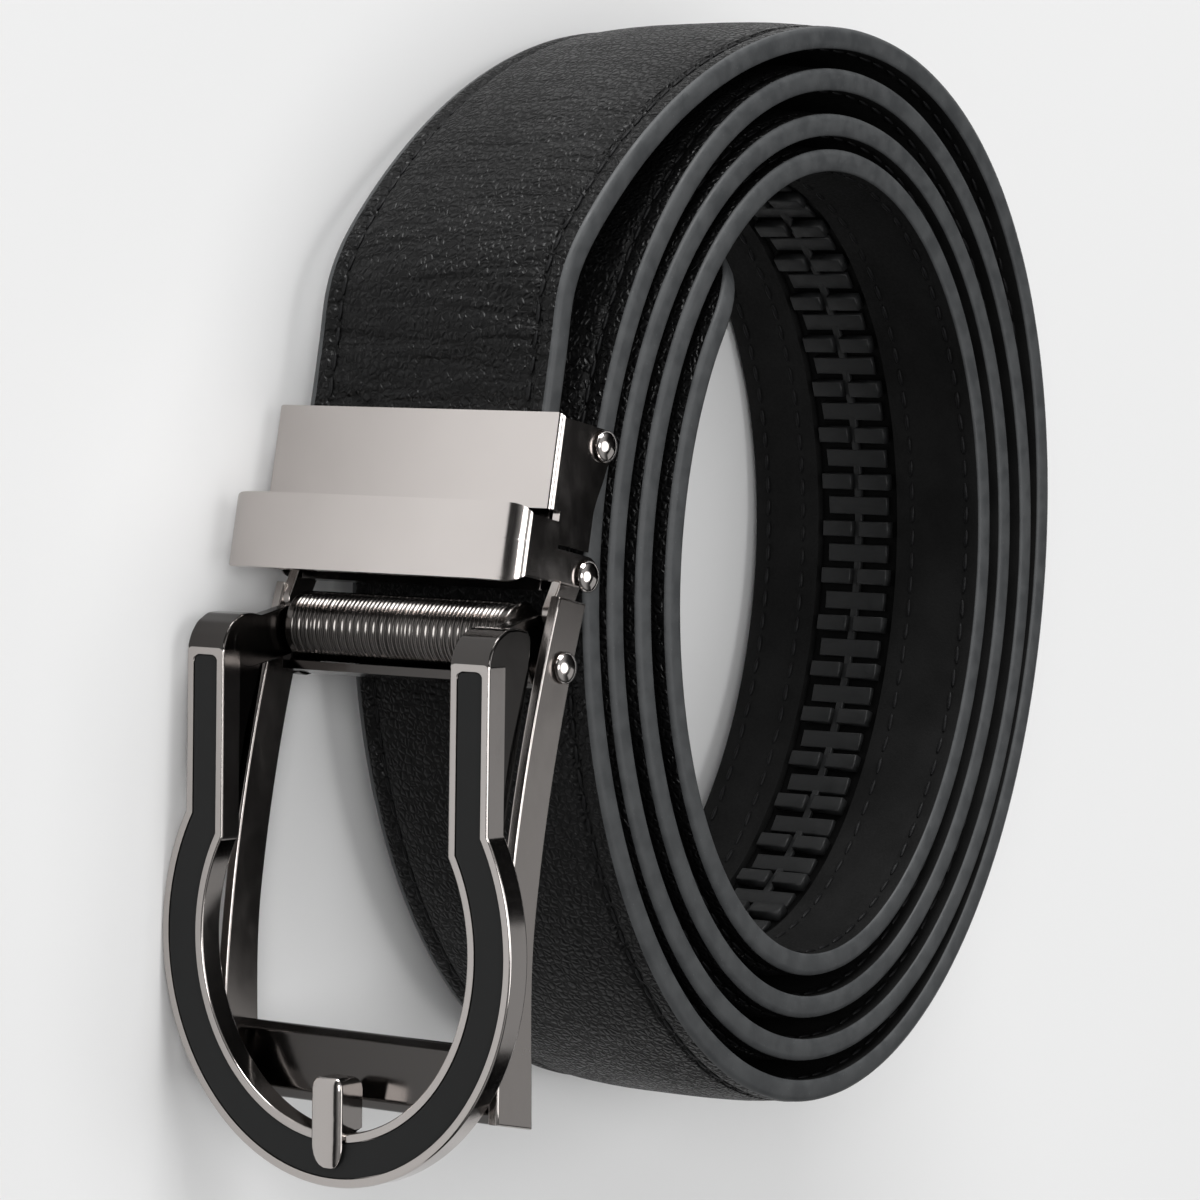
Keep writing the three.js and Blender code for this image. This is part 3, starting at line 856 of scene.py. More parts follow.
@dataclass
class StitchTree:
    """Lays slightly uneven stitches along a path."""

    pitch: float = 3.0
    length: float = 2.35
    thickness: float = 0.62
    unevenness: float = 0.06
    seed: int = 7

    @cached_property
    def tree(self) -> NodeTree:
        """The tree, built once."""
        t = NodeTree("stitches", Float=("Pitch", "Length", "Thickness", "Unevenness"), Int=("Seed",),
                     Material=("Material",))
        points = t.curve(Length=t["Pitch"])
        unit = t.node("GeometryNodeMeshUVSphere", {"Segments": 6, "Rings": 5, "Radius": 0.5}).outputs[0]
        lying = t.node("GeometryNodeTransform",
                       {"Geometry": unit, "Rotation": (0.0, math.pi / 2, 0.0)}).outputs[0]
        low, high = t.minus(1.0, t["Unevenness"]), t.plus(1.0, t["Unevenness"])
        size = t.node("FunctionNodeRandomValue", {2: low, 3: high, 8: t["Seed"]},
                      data_type="FLOAT").outputs[1]
        scale = t.vector(t.times(t["Length"], size), t["Thickness"], t.times(t["Thickness"], 0.8))
        sway = t.times(t.minus(size, 1.0), 1.5)
        t.finish(along_path(t, points, lying, scale, sway))
        return t

    def sew(self, path: Path) -> Mesh:
        """Return the stitches along one path."""
        return self.tree.run(path.carrier(), Material=Finish.THREAD.material, **asdict(self))


@dataclass
class ToothTree:
    """Sets one moulded tooth cell after another along the track."""

    @cached_property
    def tree(self) -> NodeTree:
        """The tree, built once."""
        t = NodeTree("track_teeth", Int=("Count",), Object=("Cell",), Material=("Material",))
        cell = t.node("GeometryNodeObjectInfo", {"Object": t["Cell"], "As Instance": True},
                      transform_space="ORIGINAL")
        t.finish(along_path(t, t.curve(Count=t["Count"]), cell.outputs["Geometry"], (1.0, 1.0, 1.0), 0.0))
        return t

    def mould(self, path: Path, cell: Object, count: int) -> Mesh:
        """Return so many cells along one path, each with its X along it and its Z away from the strap."""
        return self.tree.run(path.carrier(), count=count, cell=cell, material=Finish.NYLON.material)


@dataclass
class RibTree:
    """Turns a finely ribbed barrel: a tube whose radius rises and falls along its axis."""

    radius: float = 4.1
    half_length: float = 16.3
    collar: float = 1.3
    ribs: int = 51
    rib_depth: float = 0.2
    rows_per_rib: int = 6
    segments: int = 72

    @cached_property
    def tree(self) -> NodeTree:
        """The tree, built once."""
        t = NodeTree("ribbed_barrel", Float=("Radius", "Half Length", "Collar", "Rib Depth"),
                     Int=("Ribs", "Rows Per Rib", "Segments"), Material=("Material",))
        rows = t.times(t["Ribs"], t["Rows Per Rib"])
        grid = t.node("GeometryNodeMeshGrid", {
            "Size X": t.times(t["Half Length"], 2.0), "Size Y": 1.0,
            "Vertices X": t.plus(rows, 1.0), "Vertices Y": t.plus(t["Segments"], 1.0)})
        x, y, _ = t.node("SeparateXYZ", {0: t.node("GeometryNodeInputPosition").outputs[0]}).outputs
        from_middle = t.math("ABSOLUTE", x)
        ribbed = t.minus(t["Half Length"], t["Collar"])
        phase = t.times(t.math("DIVIDE", t.plus(x, ribbed), t.times(ribbed, 2.0)),
                       t.times(t["Ribs"], math.pi))
        hollow = t.minus(1.0, t.math("ABSOLUTE", t.math("SINE", phase)))
        depth = t.times(t.math("LESS_THAN", from_middle, ribbed), t["Rib Depth"])
        from_end = t.times(t.minus(t["Half Length"], from_middle), 2.0)
        near_end = t.minus(1.0, t.math("MINIMUM", 1.0, from_end))
        shoulder = t.times(t.math("POWER", near_end, 2.0), 0.5)
        radius = t.minus(t.minus(t["Radius"], t.times(hollow, depth)), shoulder)
        angle = t.times(y, 2 * math.pi)
        place = t.vector(t.times(radius, t.math("COSINE", angle)),
                         t.times(radius, t.math("SINE", angle)), x)
        rolled = t.node("GeometryNodeSetPosition",
                        {"Geometry": grid.outputs[0], "Position": place}).outputs[0]
        t.finish(t.node("GeometryNodeMergeByDistance", {"Geometry": rolled, "Distance": 0.001}).outputs[0])
        return t

    def turn(self) -> Mesh:
        """Return the barrel about the Z axis, with its ends closed."""
        carrier = posed("barrel", bpy.data.meshes.new("barrel"))
        # the barrel takes the darker copy of the nickel, painted shade
        made = self.tree.run(carrier, Material=Finish.BARREL_NICKEL.material, **asdict(self))
        return turned_out(made, close=True)


# Strap


@dataclass(frozen=True)
class RollShape:
    """The line that the strap's middle follows: straight out of the clamp, then wound inwards."""

    half_width: float = 49.1
    half_height: float = 64.5
    turn_pitch: float = 5.1
    start: int = 34
    end: int = 1502
    step: int = 12
    width_rows: tuple[float, ...] = (-3.2, 0.0, 0.19, 0.76, 1.1, 1.76, 2.17, 2.71, 3.31, 3.75)
    height_rows: tuple[float, ...] = (0.0, 0.02, 1.0, 1.01, 2.08, 2.04, 2.92, 3.06, 3.92)
    buckle_x: float = -56.2
    buckle_y: float = 17.2
    buckle_lean: float = 9.0
    strap_out: float = 0.7
    head_length: float = 24.0
    head_in_clamp: float = 10.0
    samples: int = 36

    @staticmethod
    def read(rows: Sequence[float], place: float) -> float:
        """Read a table smoothly between its entries.

        Args:
            rows: The entries, one step apart.
            place: Where to read, counted in steps from the first.

        Returns:
            The value there.
        """
        last = len(rows) - 1
        place = min(max(place, 0.0), float(last))
        k = min(int(place), last - 1)
        t = place - k
        a, b, c, d = (rows[min(max(i, 0), last)] for i in (k - 1, k, k + 1, k + 2))
        v, w = (c - a) / 2, (d - b) / 2
        return (2 * b - 2 * c + v + w) * t ** 3 + (3 * c - 3 * b - 2 * v - w) * t ** 2 + v * t + b

    def knots(self) -> list[Vector]:
        """Return the points that the line is drawn through."""
        lean = math.radians(self.buckle_lean)
        made = []
        for share in (0.0, 0.4, 0.7, 1.0):
            down = self.head_in_clamp - self.head_length * share
            made.append(Vector((self.buckle_x - down * math.sin(lean) - self.strap_out * math.cos(lean),
                                self.buckle_y - down * math.cos(lean) + self.strap_out * math.sin(lean))))
        for angle in range(self.start, self.end + 1, self.step):
            half_width = self.half_width - self.turn_pitch * self.read(self.width_rows, angle / 180)
            half_height = self.half_height - self.turn_pitch * self.read(self.height_rows, angle / 180 - 0.5)
            turn = math.radians(angle)
            made.append(Vector((-half_width * math.cos(turn), half_height * math.sin(turn))))
        return made

    @cached_property
    def traced(self) -> tuple[list[Vector], list[float]]:
        """Close points on the line, and how far along it each lies."""
        knots = self.knots()
        knots = [knots[0] * 2 - knots[1], *knots, knots[-1] * 2 - knots[-2]]
        points: list[Vector] = []
        for i in range(1, len(knots) - 2):
            a, b, c, d = knots[i - 1:i + 3]
            gaps = [math.sqrt((q - p).length) for p, q in ((a, b), (b, c), (c, d))]
            v = ((b - a) / gaps[0] - (c - a) / (gaps[0] + gaps[1]) + (c - b) / gaps[1]) * gaps[1]
            w = ((c - b) / gaps[1] - (d - b) / (gaps[1] + gaps[2]) + (d - c) / gaps[2]) * gaps[1]
            for k in range(self.samples):
                t = k / self.samples
                points.append(b + v * t + (c * 3 - b * 3 - v * 2 - w) * t ** 2
                              + (b * 2 - c * 2 + v + w) * t ** 3)
        points.append(knots[-2])
        lengths = [0.0]
        for p, q in zip(points, points[1:]):
            lengths.append(lengths[-1] + (q - p).length)
        return points, lengths

    @property
    def length(self) -> float:
        """The strap's whole length."""
        return self.traced[1][-1]

    def at(self, distance: float) -> tuple[Vector, Vector]:
        """Return the point at a distance from the head, and the direction of the line there.

        Args:
            distance: Millimetres from the strap's head.

        Returns:
            The point and the unit tangent, both flat.
        """
        points, lengths = self.traced
        distance = min(max(distance, 0.0), lengths[-1])
        low = min(bisect_right(lengths, distance), len(lengths) - 1) - 1
        high = low + 1
        share = (distance - lengths[low]) / (lengths[high] - lengths[low])
        before, after = points[max(low - 1, 0)], points[min(high + 1, len(points) - 1)]
        start = (points[high] - before).normalized()
        end = (after - points[low]).normalized()
        return points[low].lerp(points[high], share), start.lerp(end, share).normalized()


@dataclass
class Strap:
    """The leather strap: crowned face, painted edges, lining, stitches and the track let into the lining."""

    roll: RollShape = field(default_factory=RollShape)
    width: float = 35.0
    thickness: float = 2.7
    crown: float = 0.8
    crown_fade: float = 13.0
    crown_powers: Point2 = (2.8, 0.85)
    crown_shares: tuple[float, ...] = (0, 0.2, 0.4, 0.58, 0.72, 0.83, 0.91, 0.965)
    corner: float = 0.55
    stitch_inset: float = 2.9
    valley: float = 0.3
    lining_inset: float = 2.1
    tip_length: float = 13.0
    tip_half_width: float = 7.5
    step: float = 1.15
    close_step: float = 0.75
    close_until: float = 75.0
    wrinkle: float = 0.3
    far_wrinkle: float = 0.12
    wrinkle_fade: float = 26.0
    crease_width: float = 0.22
    track_width: float = 11.7
    track_aside: float = -1.35
    track_start: float = 60.0
    tooth_pitch: float = 6.35
    tooth_count: int = 45
    groove_depth: float = 1.0
    groove_gap: float = 0.3
    pit_rise: float = 0.12
    track_stitch: float = 8.55
    tooth_rise: float = 0.65
    block_reach: Point2 = (0.55, 5.05)
    bar_drop: float = 0.62
    spine_drop: float = 0.72
    stitches: StitchTree = field(default_factory=StitchTree)
    teeth: ToothTree = field(default_factory=ToothTree)

    @property
    def skin(self) -> float:
        """Half the strap's thickness at its edges."""
        return self.thickness / 2

    @property
    def track_to(self) -> float:
        """Where the track ends, from the head."""
        return self.roll.length - self.track_start

    @property
    def track_from(self) -> float:
        """Where the track starts, from the head."""
        return self.track_to - self.tooth_pitch * self.tooth_count

    def half(self, distance: float) -> float:
        """Return the strap's half width at a distance from its head."""
        rest = 1 - min(max(self.roll.length - distance, 0.0) / self.tip_length, 1.0)
        return self.tip_half_width + (self.width / 2 - self.tip_half_width) * math.sqrt(1 - rest * rest)

    def carried(self, distance: float, height: float, out: float) -> Vector:
        """Return a place on the strap in the roll frame.

        Args:
            distance: Millimetres from the head.
            height: Across the strap, from its middle.
            out: Away from the roll, from the middle of its thickness.

        Returns:
            The point.
        """
        point, along = self.roll.at(distance)
        return Vector((point.x - along.y * out, point.y + along.x * out, height))

    def facing(self, distance: float, side: float) -> Vector:
        """Return the face's outward direction, or with side -1 the lining's."""
        _, along = self.roll.at(distance)
        return Vector((-along.y * side, along.x * side, 0.0))

    def wrinkled(self, distance: float, height: float) -> float:
        """Return how far the face rises or sinks at a place, from wrinkles across the strap.

        Args:
            distance: Millimetres from the head.
            height: Across the strap, from its middle.

        Returns:
            The rise in millimetres.
        """
        from_clamp = max(distance - self.roll.head_in_clamp, 0.0)
        near = self.far_wrinkle + math.exp(-from_clamp / self.wrinkle_fade)
        wander = 2.2 * noise.noise(Vector((distance * 0.06, height * 0.09, 4.7)))
        fold = noise.noise(Vector((distance * 0.42 + wander, height * 0.035, 1.3)))
        crease = -max(0.0, self.crease_width - abs(fold)) / self.crease_width
        swell = noise.noise(Vector((distance * 0.07, height * 0.05, 9.1)))
        return self.wrinkle * near * (crease + 0.6 * fold) + 0.05 * swell + 0.018 * crease

    def rows(self, distance: float) -> list[tuple[float, float, Zone]]:
        """Return one cross-section: height, outward place and the zone of the strip that follows.

        Args:
            distance: Millimetres from the head.

        Returns:
            The section's points, from the face's middle round by the near edge.
        """
        half, skin = self.half(distance), self.skin
        share = half / (self.width / 2)
        clamp = self.roll.head_in_clamp
        crown = self.crown * smoothstep(distance, clamp, clamp + self.crown_fade)
        stitch = half - self.stitch_inset
        r = self.corner
        fullness, roundness = self.crown_powers
        face = [(u * stitch, skin + crown * share * (1 - u ** fullness) ** roundness)
                for u in self.crown_shares]
        lip = [(stitch - 0.4, skin - 0.12), (stitch, skin - self.valley), (stitch + 0.4, skin - 0.14),
               (stitch + 0.9, skin + 0.04), (stitch + 1.5, skin + 0.07), (half - 0.85, skin)]
        edge = [(half - r, skin - 0.03), (half - 0.3 * r, skin - 0.32 * r), (half, skin - r),
                (half + 0.06, 0.45 * skin), (half + 0.06, -0.5 * skin), (half, 0.28 - skin),
                (half - 0.08, 0.08 - skin)]
        before, after = self.groove_ends()
        depth = self.groove_depth * smoothstep(distance, *before) * (1 - smoothstep(distance, *after))
        reach = stitch - 0.4
        low, high = (min(max(self.track_aside + s * (self.track_width / 2 + self.groove_gap), -reach), reach)
                     for s in (-1, 1))
        seam = half - self.lining_inset
        back = [(half - 0.3, -skin), (seam + 0.5, -skin), (seam, 0.07 - skin), (seam - 0.5, -skin),
                (high, -skin), (high - 0.12, depth - skin), (low + 0.12, depth - skin), (low, -skin),
                (0.5 - seam, -skin), (-seam, 0.07 - skin), (-seam - 0.5, -skin), (0.3 - half, -skin)]

        def lifted(rows: Sequence[Point2], side: int, amount: float) -> list[tuple[float, float, Zone]]:
            """Return points of one half of the face, raised by so much of its wrinkles."""
            return [(side * h, out + amount * self.wrinkled(distance, side * h), Zone.FACE)
                    for h, out in rows]

        made = lifted(face, 1, 1.0) + lifted(lip, 1, 0.35)
        made += [(h, out, Zone.EDGE) for h, out in edge]
        made += [(h, out, Zone.LINING) for h, out in back]
        made += [(-h, out, Zone.EDGE) for h, out in reversed(edge)]
        return made + lifted([*reversed(lip)], -1, 0.35) + lifted([*reversed(face[1:])], -1, 1.0)

    def groove_ends(self) -> tuple[Point2, Point2]:
        """Return the two stretches over which the track's groove sinks in and rises out again."""
        near, far = 0.4, 1.2
        return (self.track_from - far, self.track_from - near), (self.track_to + near, self.track_to + far)

    def stations(self) -> list[float]:
        """Return the distances at which the strap's sections lie."""
        made, distance = [], 0.0
        while distance < self.roll.length - self.tip_length:
            made.append(distance)
            distance += self.close_step if distance < self.close_until else self.step
        for pair in self.groove_ends():
            made.extend(pair)
        tip = [0.0, 0.12, 0.25, 0.38, 0.5, 0.61, 0.72, 0.8, 0.87, 0.92, 0.96, 0.985, 1.0]
        made += [self.roll.length - self.tip_length * (1 - share) for share in tip]
        return sorted(made)

    def leather(self) -> Mesh:
        """Return the strap's own mesh, with three zones."""
        sections = [(distance, self.rows(distance)) for distance in self.stations()]
        rings = [[self.carried(distance, height, out) for height, out, _ in rows]
                 for distance, rows in sections]
        places = [[(distance / 100, height / 100) for height, _, _ in rows] for distance, rows in sections]
        draft = Draft()
        draft.loft(rings, [zone.value for _, _, zone in sections[-1][1]], places)
        return shaded(draft.mesh("strap"), 55)

    def seam(self, inward: float, out: float, side: float) -> Path:
        """Return a path down one side of the strap, round its tip and back.

        Args:
            inward: How far inside the edge the seam runs.
            out: Its place in the strap's thickness.
            side: 1 on the face, -1 on the lining.

        Returns:
            The path.
        """
        start, last = self.roll.head_in_clamp - 1, self.roll.length - inward
        outgoing = [(d, self.half(d) - inward) for d in self.spaced(start, last, 1.5)]
        across = [(last, h * outgoing[-1][1]) for h in (0.6, 0.2, -0.2, -0.6)]
        run = outgoing + across + [(d, -h) for d, h in reversed(outgoing)]
        return Path([self.carried(d, h, out) for d, h in run], [self.facing(d, side) for d, h in run])

    def straight(self, height: float, out: float, start: float, end: float) -> Path:
        """Return a path along the lining at one height.

        Args:
            height: Across the strap, from its middle.
            out: Its place in the strap's thickness.
            start: Where it starts, from the head.
            end: Where it ends.

        Returns:
            The path.
        """
        run = self.spaced(start, end, 1.5)
        return Path([self.carried(d, height, out) for d in run], [self.facing(d, -1) for d in run])

    @staticmethod
    def spaced(start: float, end: float, step: float) -> list[float]:
        """Return evenly spaced distances from start to end, about a step apart."""
        steps = int((end - start) / step)
        return [mix(start, end, k / steps) for k in range(steps + 1)]

    def ribbon(self) -> Mesh:
        """Return the track's flat base, sunk into the lining."""
        half, bevel, top = self.track_width / 2, 0.08, self.tooth_floor
        bottom = top + self.pit_rise
        section = [(-half, bottom), (half, bottom), (half, top + bevel), (half - bevel, top),
                   (bevel - half, top), (-half, top + bevel)]
        draft = Draft()
        draft.loft([[self.carried(distance, self.track_aside + h, out) for h, out in section]
                    for distance in self.spaced(self.track_from, self.track_to, 1.6)])
        return shaded(draft.mesh("track_ribbon"), 30)

    @property
    def tooth_floor(self) -> float:
        """Where the teeth stand, in the strap's thickness."""
        return self.groove_depth - self.skin - 0.2 - self.pit_rise

    def cell(self) -> Object:
        """Return one cell of the track: two raised blocks, the lower cross bar after them and the spine."""
        top, middle = self.tooth_floor + self.skin + self.tooth_rise, self.tooth_pitch / 2
        near, far = self.block_reach
        draft = Draft()
        for x_start, x_end, y_start, y_end, drop, edge in (
                (-1.0, 1.0, -near, -far, 0.0, 0.2), (-1.0, 1.0, near, far, 0.0, 0.2),
                (middle - 1.15, middle + 1.15, -4.5, 4.5, self.bar_drop, 0.15),
                (-middle, middle, -0.5, 0.5, self.spine_drop, 0.1)):
            box = [(x_start, y_start), (x_end, y_start), (x_end, y_end), (x_start, y_end)]
            draft.slab(box, -0.1, top - drop, edge, Matrix.Identity(4), 2)
        return posed("track_cell", draft.mesh("track_cell"))

    def toothing(self) -> Mesh:
        """Return the track's teeth, cell after cell."""
        half = self.tooth_pitch / 2
        path = self.straight(self.track_aside, self.tooth_floor, self.track_from + half, self.track_to - half)
        cell = self.cell()
        teeth = self.teeth.mould(path, cell, self.tooth_count)
        bpy.data.objects.remove(cell, do_unlink=True)
        return teeth

    def build(self, bench: Bench) -> None:
        """Make the strap, its stitches and its track.

        Args:
            bench: Takes the meshes.
        """
        leather = [Finish.LEATHER, Finish.EDGE, Finish.LINING]
        bench.deliver("strap", self.leather(), Body.BELT, leather, "strap")
        on_face = self.seam(self.stitch_inset, self.skin - self.valley + 0.12, 1)
        bench.deliver("face_stitches", self.stitches.sew(on_face), Body.BELT, [Finish.THREAD])
        paths = [self.seam(self.lining_inset, -self.skin - 0.03, -1)]
        paths += [self.straight(self.track_aside + side * self.track_stitch, -self.skin - 0.03,
                                self.track_from - 5, self.track_to + 5) for side in (-1, 1)]
        sewn = joined([self.stitches.sew(path) for path in paths], "lining_stitches")
        bench.deliver("lining_stitches", sewn, Body.BELT, [Finish.THREAD])
        # the track's base takes the darker copy of the nylon, painted shade in the pits
        bench.deliver("ratchet_track", self.ribbon(), Body.BELT, [Finish.PIT], "ratchet_track")
        bench.deliver("track_teeth", self.toothing(), Body.BELT, [Finish.NYLON])


# Buckle


@dataclass(frozen=True)
class BucklePlan:
    """Places in the buckle's plane: down runs from the clamp to the lever's foot, out away from the body."""

    x: float = -56.2
    y: float = 17.2
    lean: float = 9.0
    half: float = 21.0
    keeper_half: float = 21.7
    wall: float = 1.4
    clamp_pin: Point2 = (2.9, -5.0)
    keeper_pin: Point2 = (18.05, -3.9)
    lever_pin: Point2 = (28.7, -2.8)
    barrel_axis: Point2 = (25.8, -1.3)
    lever_top: Point2 = (30.4, 12.2)
    lever_slope: float = 11.0
    arm_inner: float = 16.6
    lug_outer: float = 18.3
    arm_outer: float = 22.2
    head_out: float = 1.25

    def matrix(self) -> Matrix:
        """Return the step from (out, down, across) to the roll frame."""
        stand = Matrix.Translation((self.x, self.y, 0.0)) @ Matrix.Rotation(-math.radians(self.lean), 4, "Z")
        return stand @ Matrix.Diagonal((-1.0, -1.0, 1.0, 1.0))

    def lever(self) -> Matrix:
        """Return the step from (depth behind the lever's front, along it, across) to the roll frame."""
        down, out = self.lever_top
        stand = Matrix.Translation((self.x, self.y, 0.0)) @ Matrix.Rotation(-math.radians(self.lean), 4, "Z")
        slope = Matrix.Rotation(math.radians(self.lever_slope), 4, "Z")
        return stand @ Matrix.Translation((-out, -down, 0.0)) @ slope

    @staticmethod
    def flat(place: Point2) -> Point2:
        """Turn (down, out) into (out, down)."""
        return place[1], place[0]


@dataclass
class FoldedPlate:
    """A plate folded into a channel across the strap: a front, two bends and two flanks."""

    half: float
    front: float
    bend: Point2
    wall: float
    downs: list[float]
    backs: list[float]
    front_end: float
    step_front: float
    top_corner: float
    end_corner: float = 0.0
    corner_reach: float = 3.0
    edge: float = 0.22

    def profile(self, back: float) -> list[Point2]:
        """Return (out, across) points from one flank's back edge over the front to the other's.

        Args:
            back: Where the flanks end.

        Returns:
            The profile's points.
        """
        depth, reach = self.bend
        low = [(mix(back, self.step_front, k / 4), self.half) for k in range(5)]
        low.append((mix(self.step_front, self.front - depth, 0.5), self.half))
        bend = [(self.front - depth + depth * math.sin(a), self.half - reach + reach * math.cos(a))
                for a in (math.pi / 2 * k / 9 for k in range(10))]
        middle = [(self.front, mix(self.half - reach, 0.0, k / 4)) for k in (1, 2, 3)]
        one = low + bend + middle
        return one + [(self.front, 0.0)] + [(out, -across) for out, across in reversed(one)]

    def mesh(self, matrix: Matrix) -> Mesh:
        """Return the folded plate.

        Args:
            matrix: Carries (out, down, across) to the roll frame.

        Returns:
            The mesh, with its walls' thickness and rounded edges.
        """
        sheet = bmesh.new()
        grid = []
        top, end, reach = self.downs[0], self.downs[-1], self.corner_reach
        for down, back in zip(self.downs, self.backs):
            row = []
            for out, across in self.profile(back):
                fall = self.rounding(across, self.top_corner) * (1 - smoothstep(down, top, top + reach))
                rise = self.rounding(across, self.end_corner) * smoothstep(down, end - reach, end)
                row.append(sheet.verts.new(Vector((out, down + fall - rise, across))))
            grid.append(row)
        for j in range(len(grid) - 1):
            middle = (self.downs[j] + self.downs[j + 1]) / 2
            for i in range(len(grid[0]) - 1):
                out = (grid[j][i].co.x + grid[j][i + 1].co.x) / 2
                if middle > self.front_end and out > self.step_front:
                    continue
                if (grid[j][i].co - grid[j + 1][i + 1].co).length < 1e-5:
                    continue
                sheet.faces.new((grid[j][i], grid[j][i + 1], grid[j + 1][i + 1], grid[j + 1][i]))
        bmesh.ops.delete(sheet, geom=[v for v in sheet.verts if not v.link_faces], context="VERTS")
        made = bpy.data.meshes.new("folded")
        sheet.to_mesh(made)
        sheet.free()
        obj = posed("folded", made)
        thick = obj.modifiers.new("wall", "SOLIDIFY")
        thick.thickness, thick.offset, thick.use_even_offset = self.wall, -1.0, True
        soft = obj.modifiers.new("edge", "BEVEL")
        soft.width, soft.segments = self.edge, 2
        soft.limit_method, soft.angle_limit = "ANGLE", math.radians(50)
        result = baked(obj)
        result.transform(matrix)
        return turned_out(result)

    def rounding(self, across: float, radius: float) -> float:
        """Return how far the front is cut back near a side, for a rounded corner in plan.

        Args:
            across: Distance from the middle.
            radius: The corner's radius, or 0 for a sharp one.

        Returns:
            The cut in millimetres.
        """
        if radius <= 0:
            return 0.0
        over = min(1.0, max(0.0, abs(across) - (self.half - 2 * radius)) / (2 * radius))
        return radius * (1 - math.sqrt(max(0.0, 1 - over * over)))


@dataclass
class Pin:
    """A pin with domed heads, turned about the axis across the strap."""

    name: str
    at: Point2
    low: float
    high: float
    domed_low: bool = True
    domed_high: bool = True
    radius: float = 1.0
    head: float = 1.85
    dome: float = 0.95
    segments: int = 28
    dome_steps: int = 7

    def end(self, height: float, inward: int, domed: bool) -> list[Point2]:
        """Return one end's profile.

        Args:
            height: Where the pin ends.
            inward: 1 or -1, towards the pin's middle.
            domed: Whether the end has a domed head.

        Returns:
            Points of radius and height, from the tip inwards.
        """
        if not domed:
            return [(self.radius, height)]
        angles = [math.pi / 2 * (k + 0.25) / (self.dome_steps + 0.25) for k in range(self.dome_steps + 1)]
        cap = [(self.head * math.sin(a), height + inward * self.dome * (1 - math.cos(a))) for a in angles]
        return [*cap, (self.radius, height + inward * self.dome)]

    def mesh(self, matrix: Matrix) -> Mesh:
        """Return the pin's mesh in the roll frame.

        Args:
            matrix: Carries (out, down, across) to the roll frame.

        Returns:
            The mesh.
        """
        profile = self.end(self.low, 1, self.domed_low) + self.end(self.high, -1, self.domed_high)[::-1]
        down, out = self.at
        turns = [2 * math.pi * k / self.segments for k in range(self.segments)]
        draft = Draft()
        draft.loft([[matrix @ Vector((out + radius * math.cos(a), down + radius * math.sin(a), height))
                     for a in turns] for radius, height in profile])
        return draft.mesh(self.name)


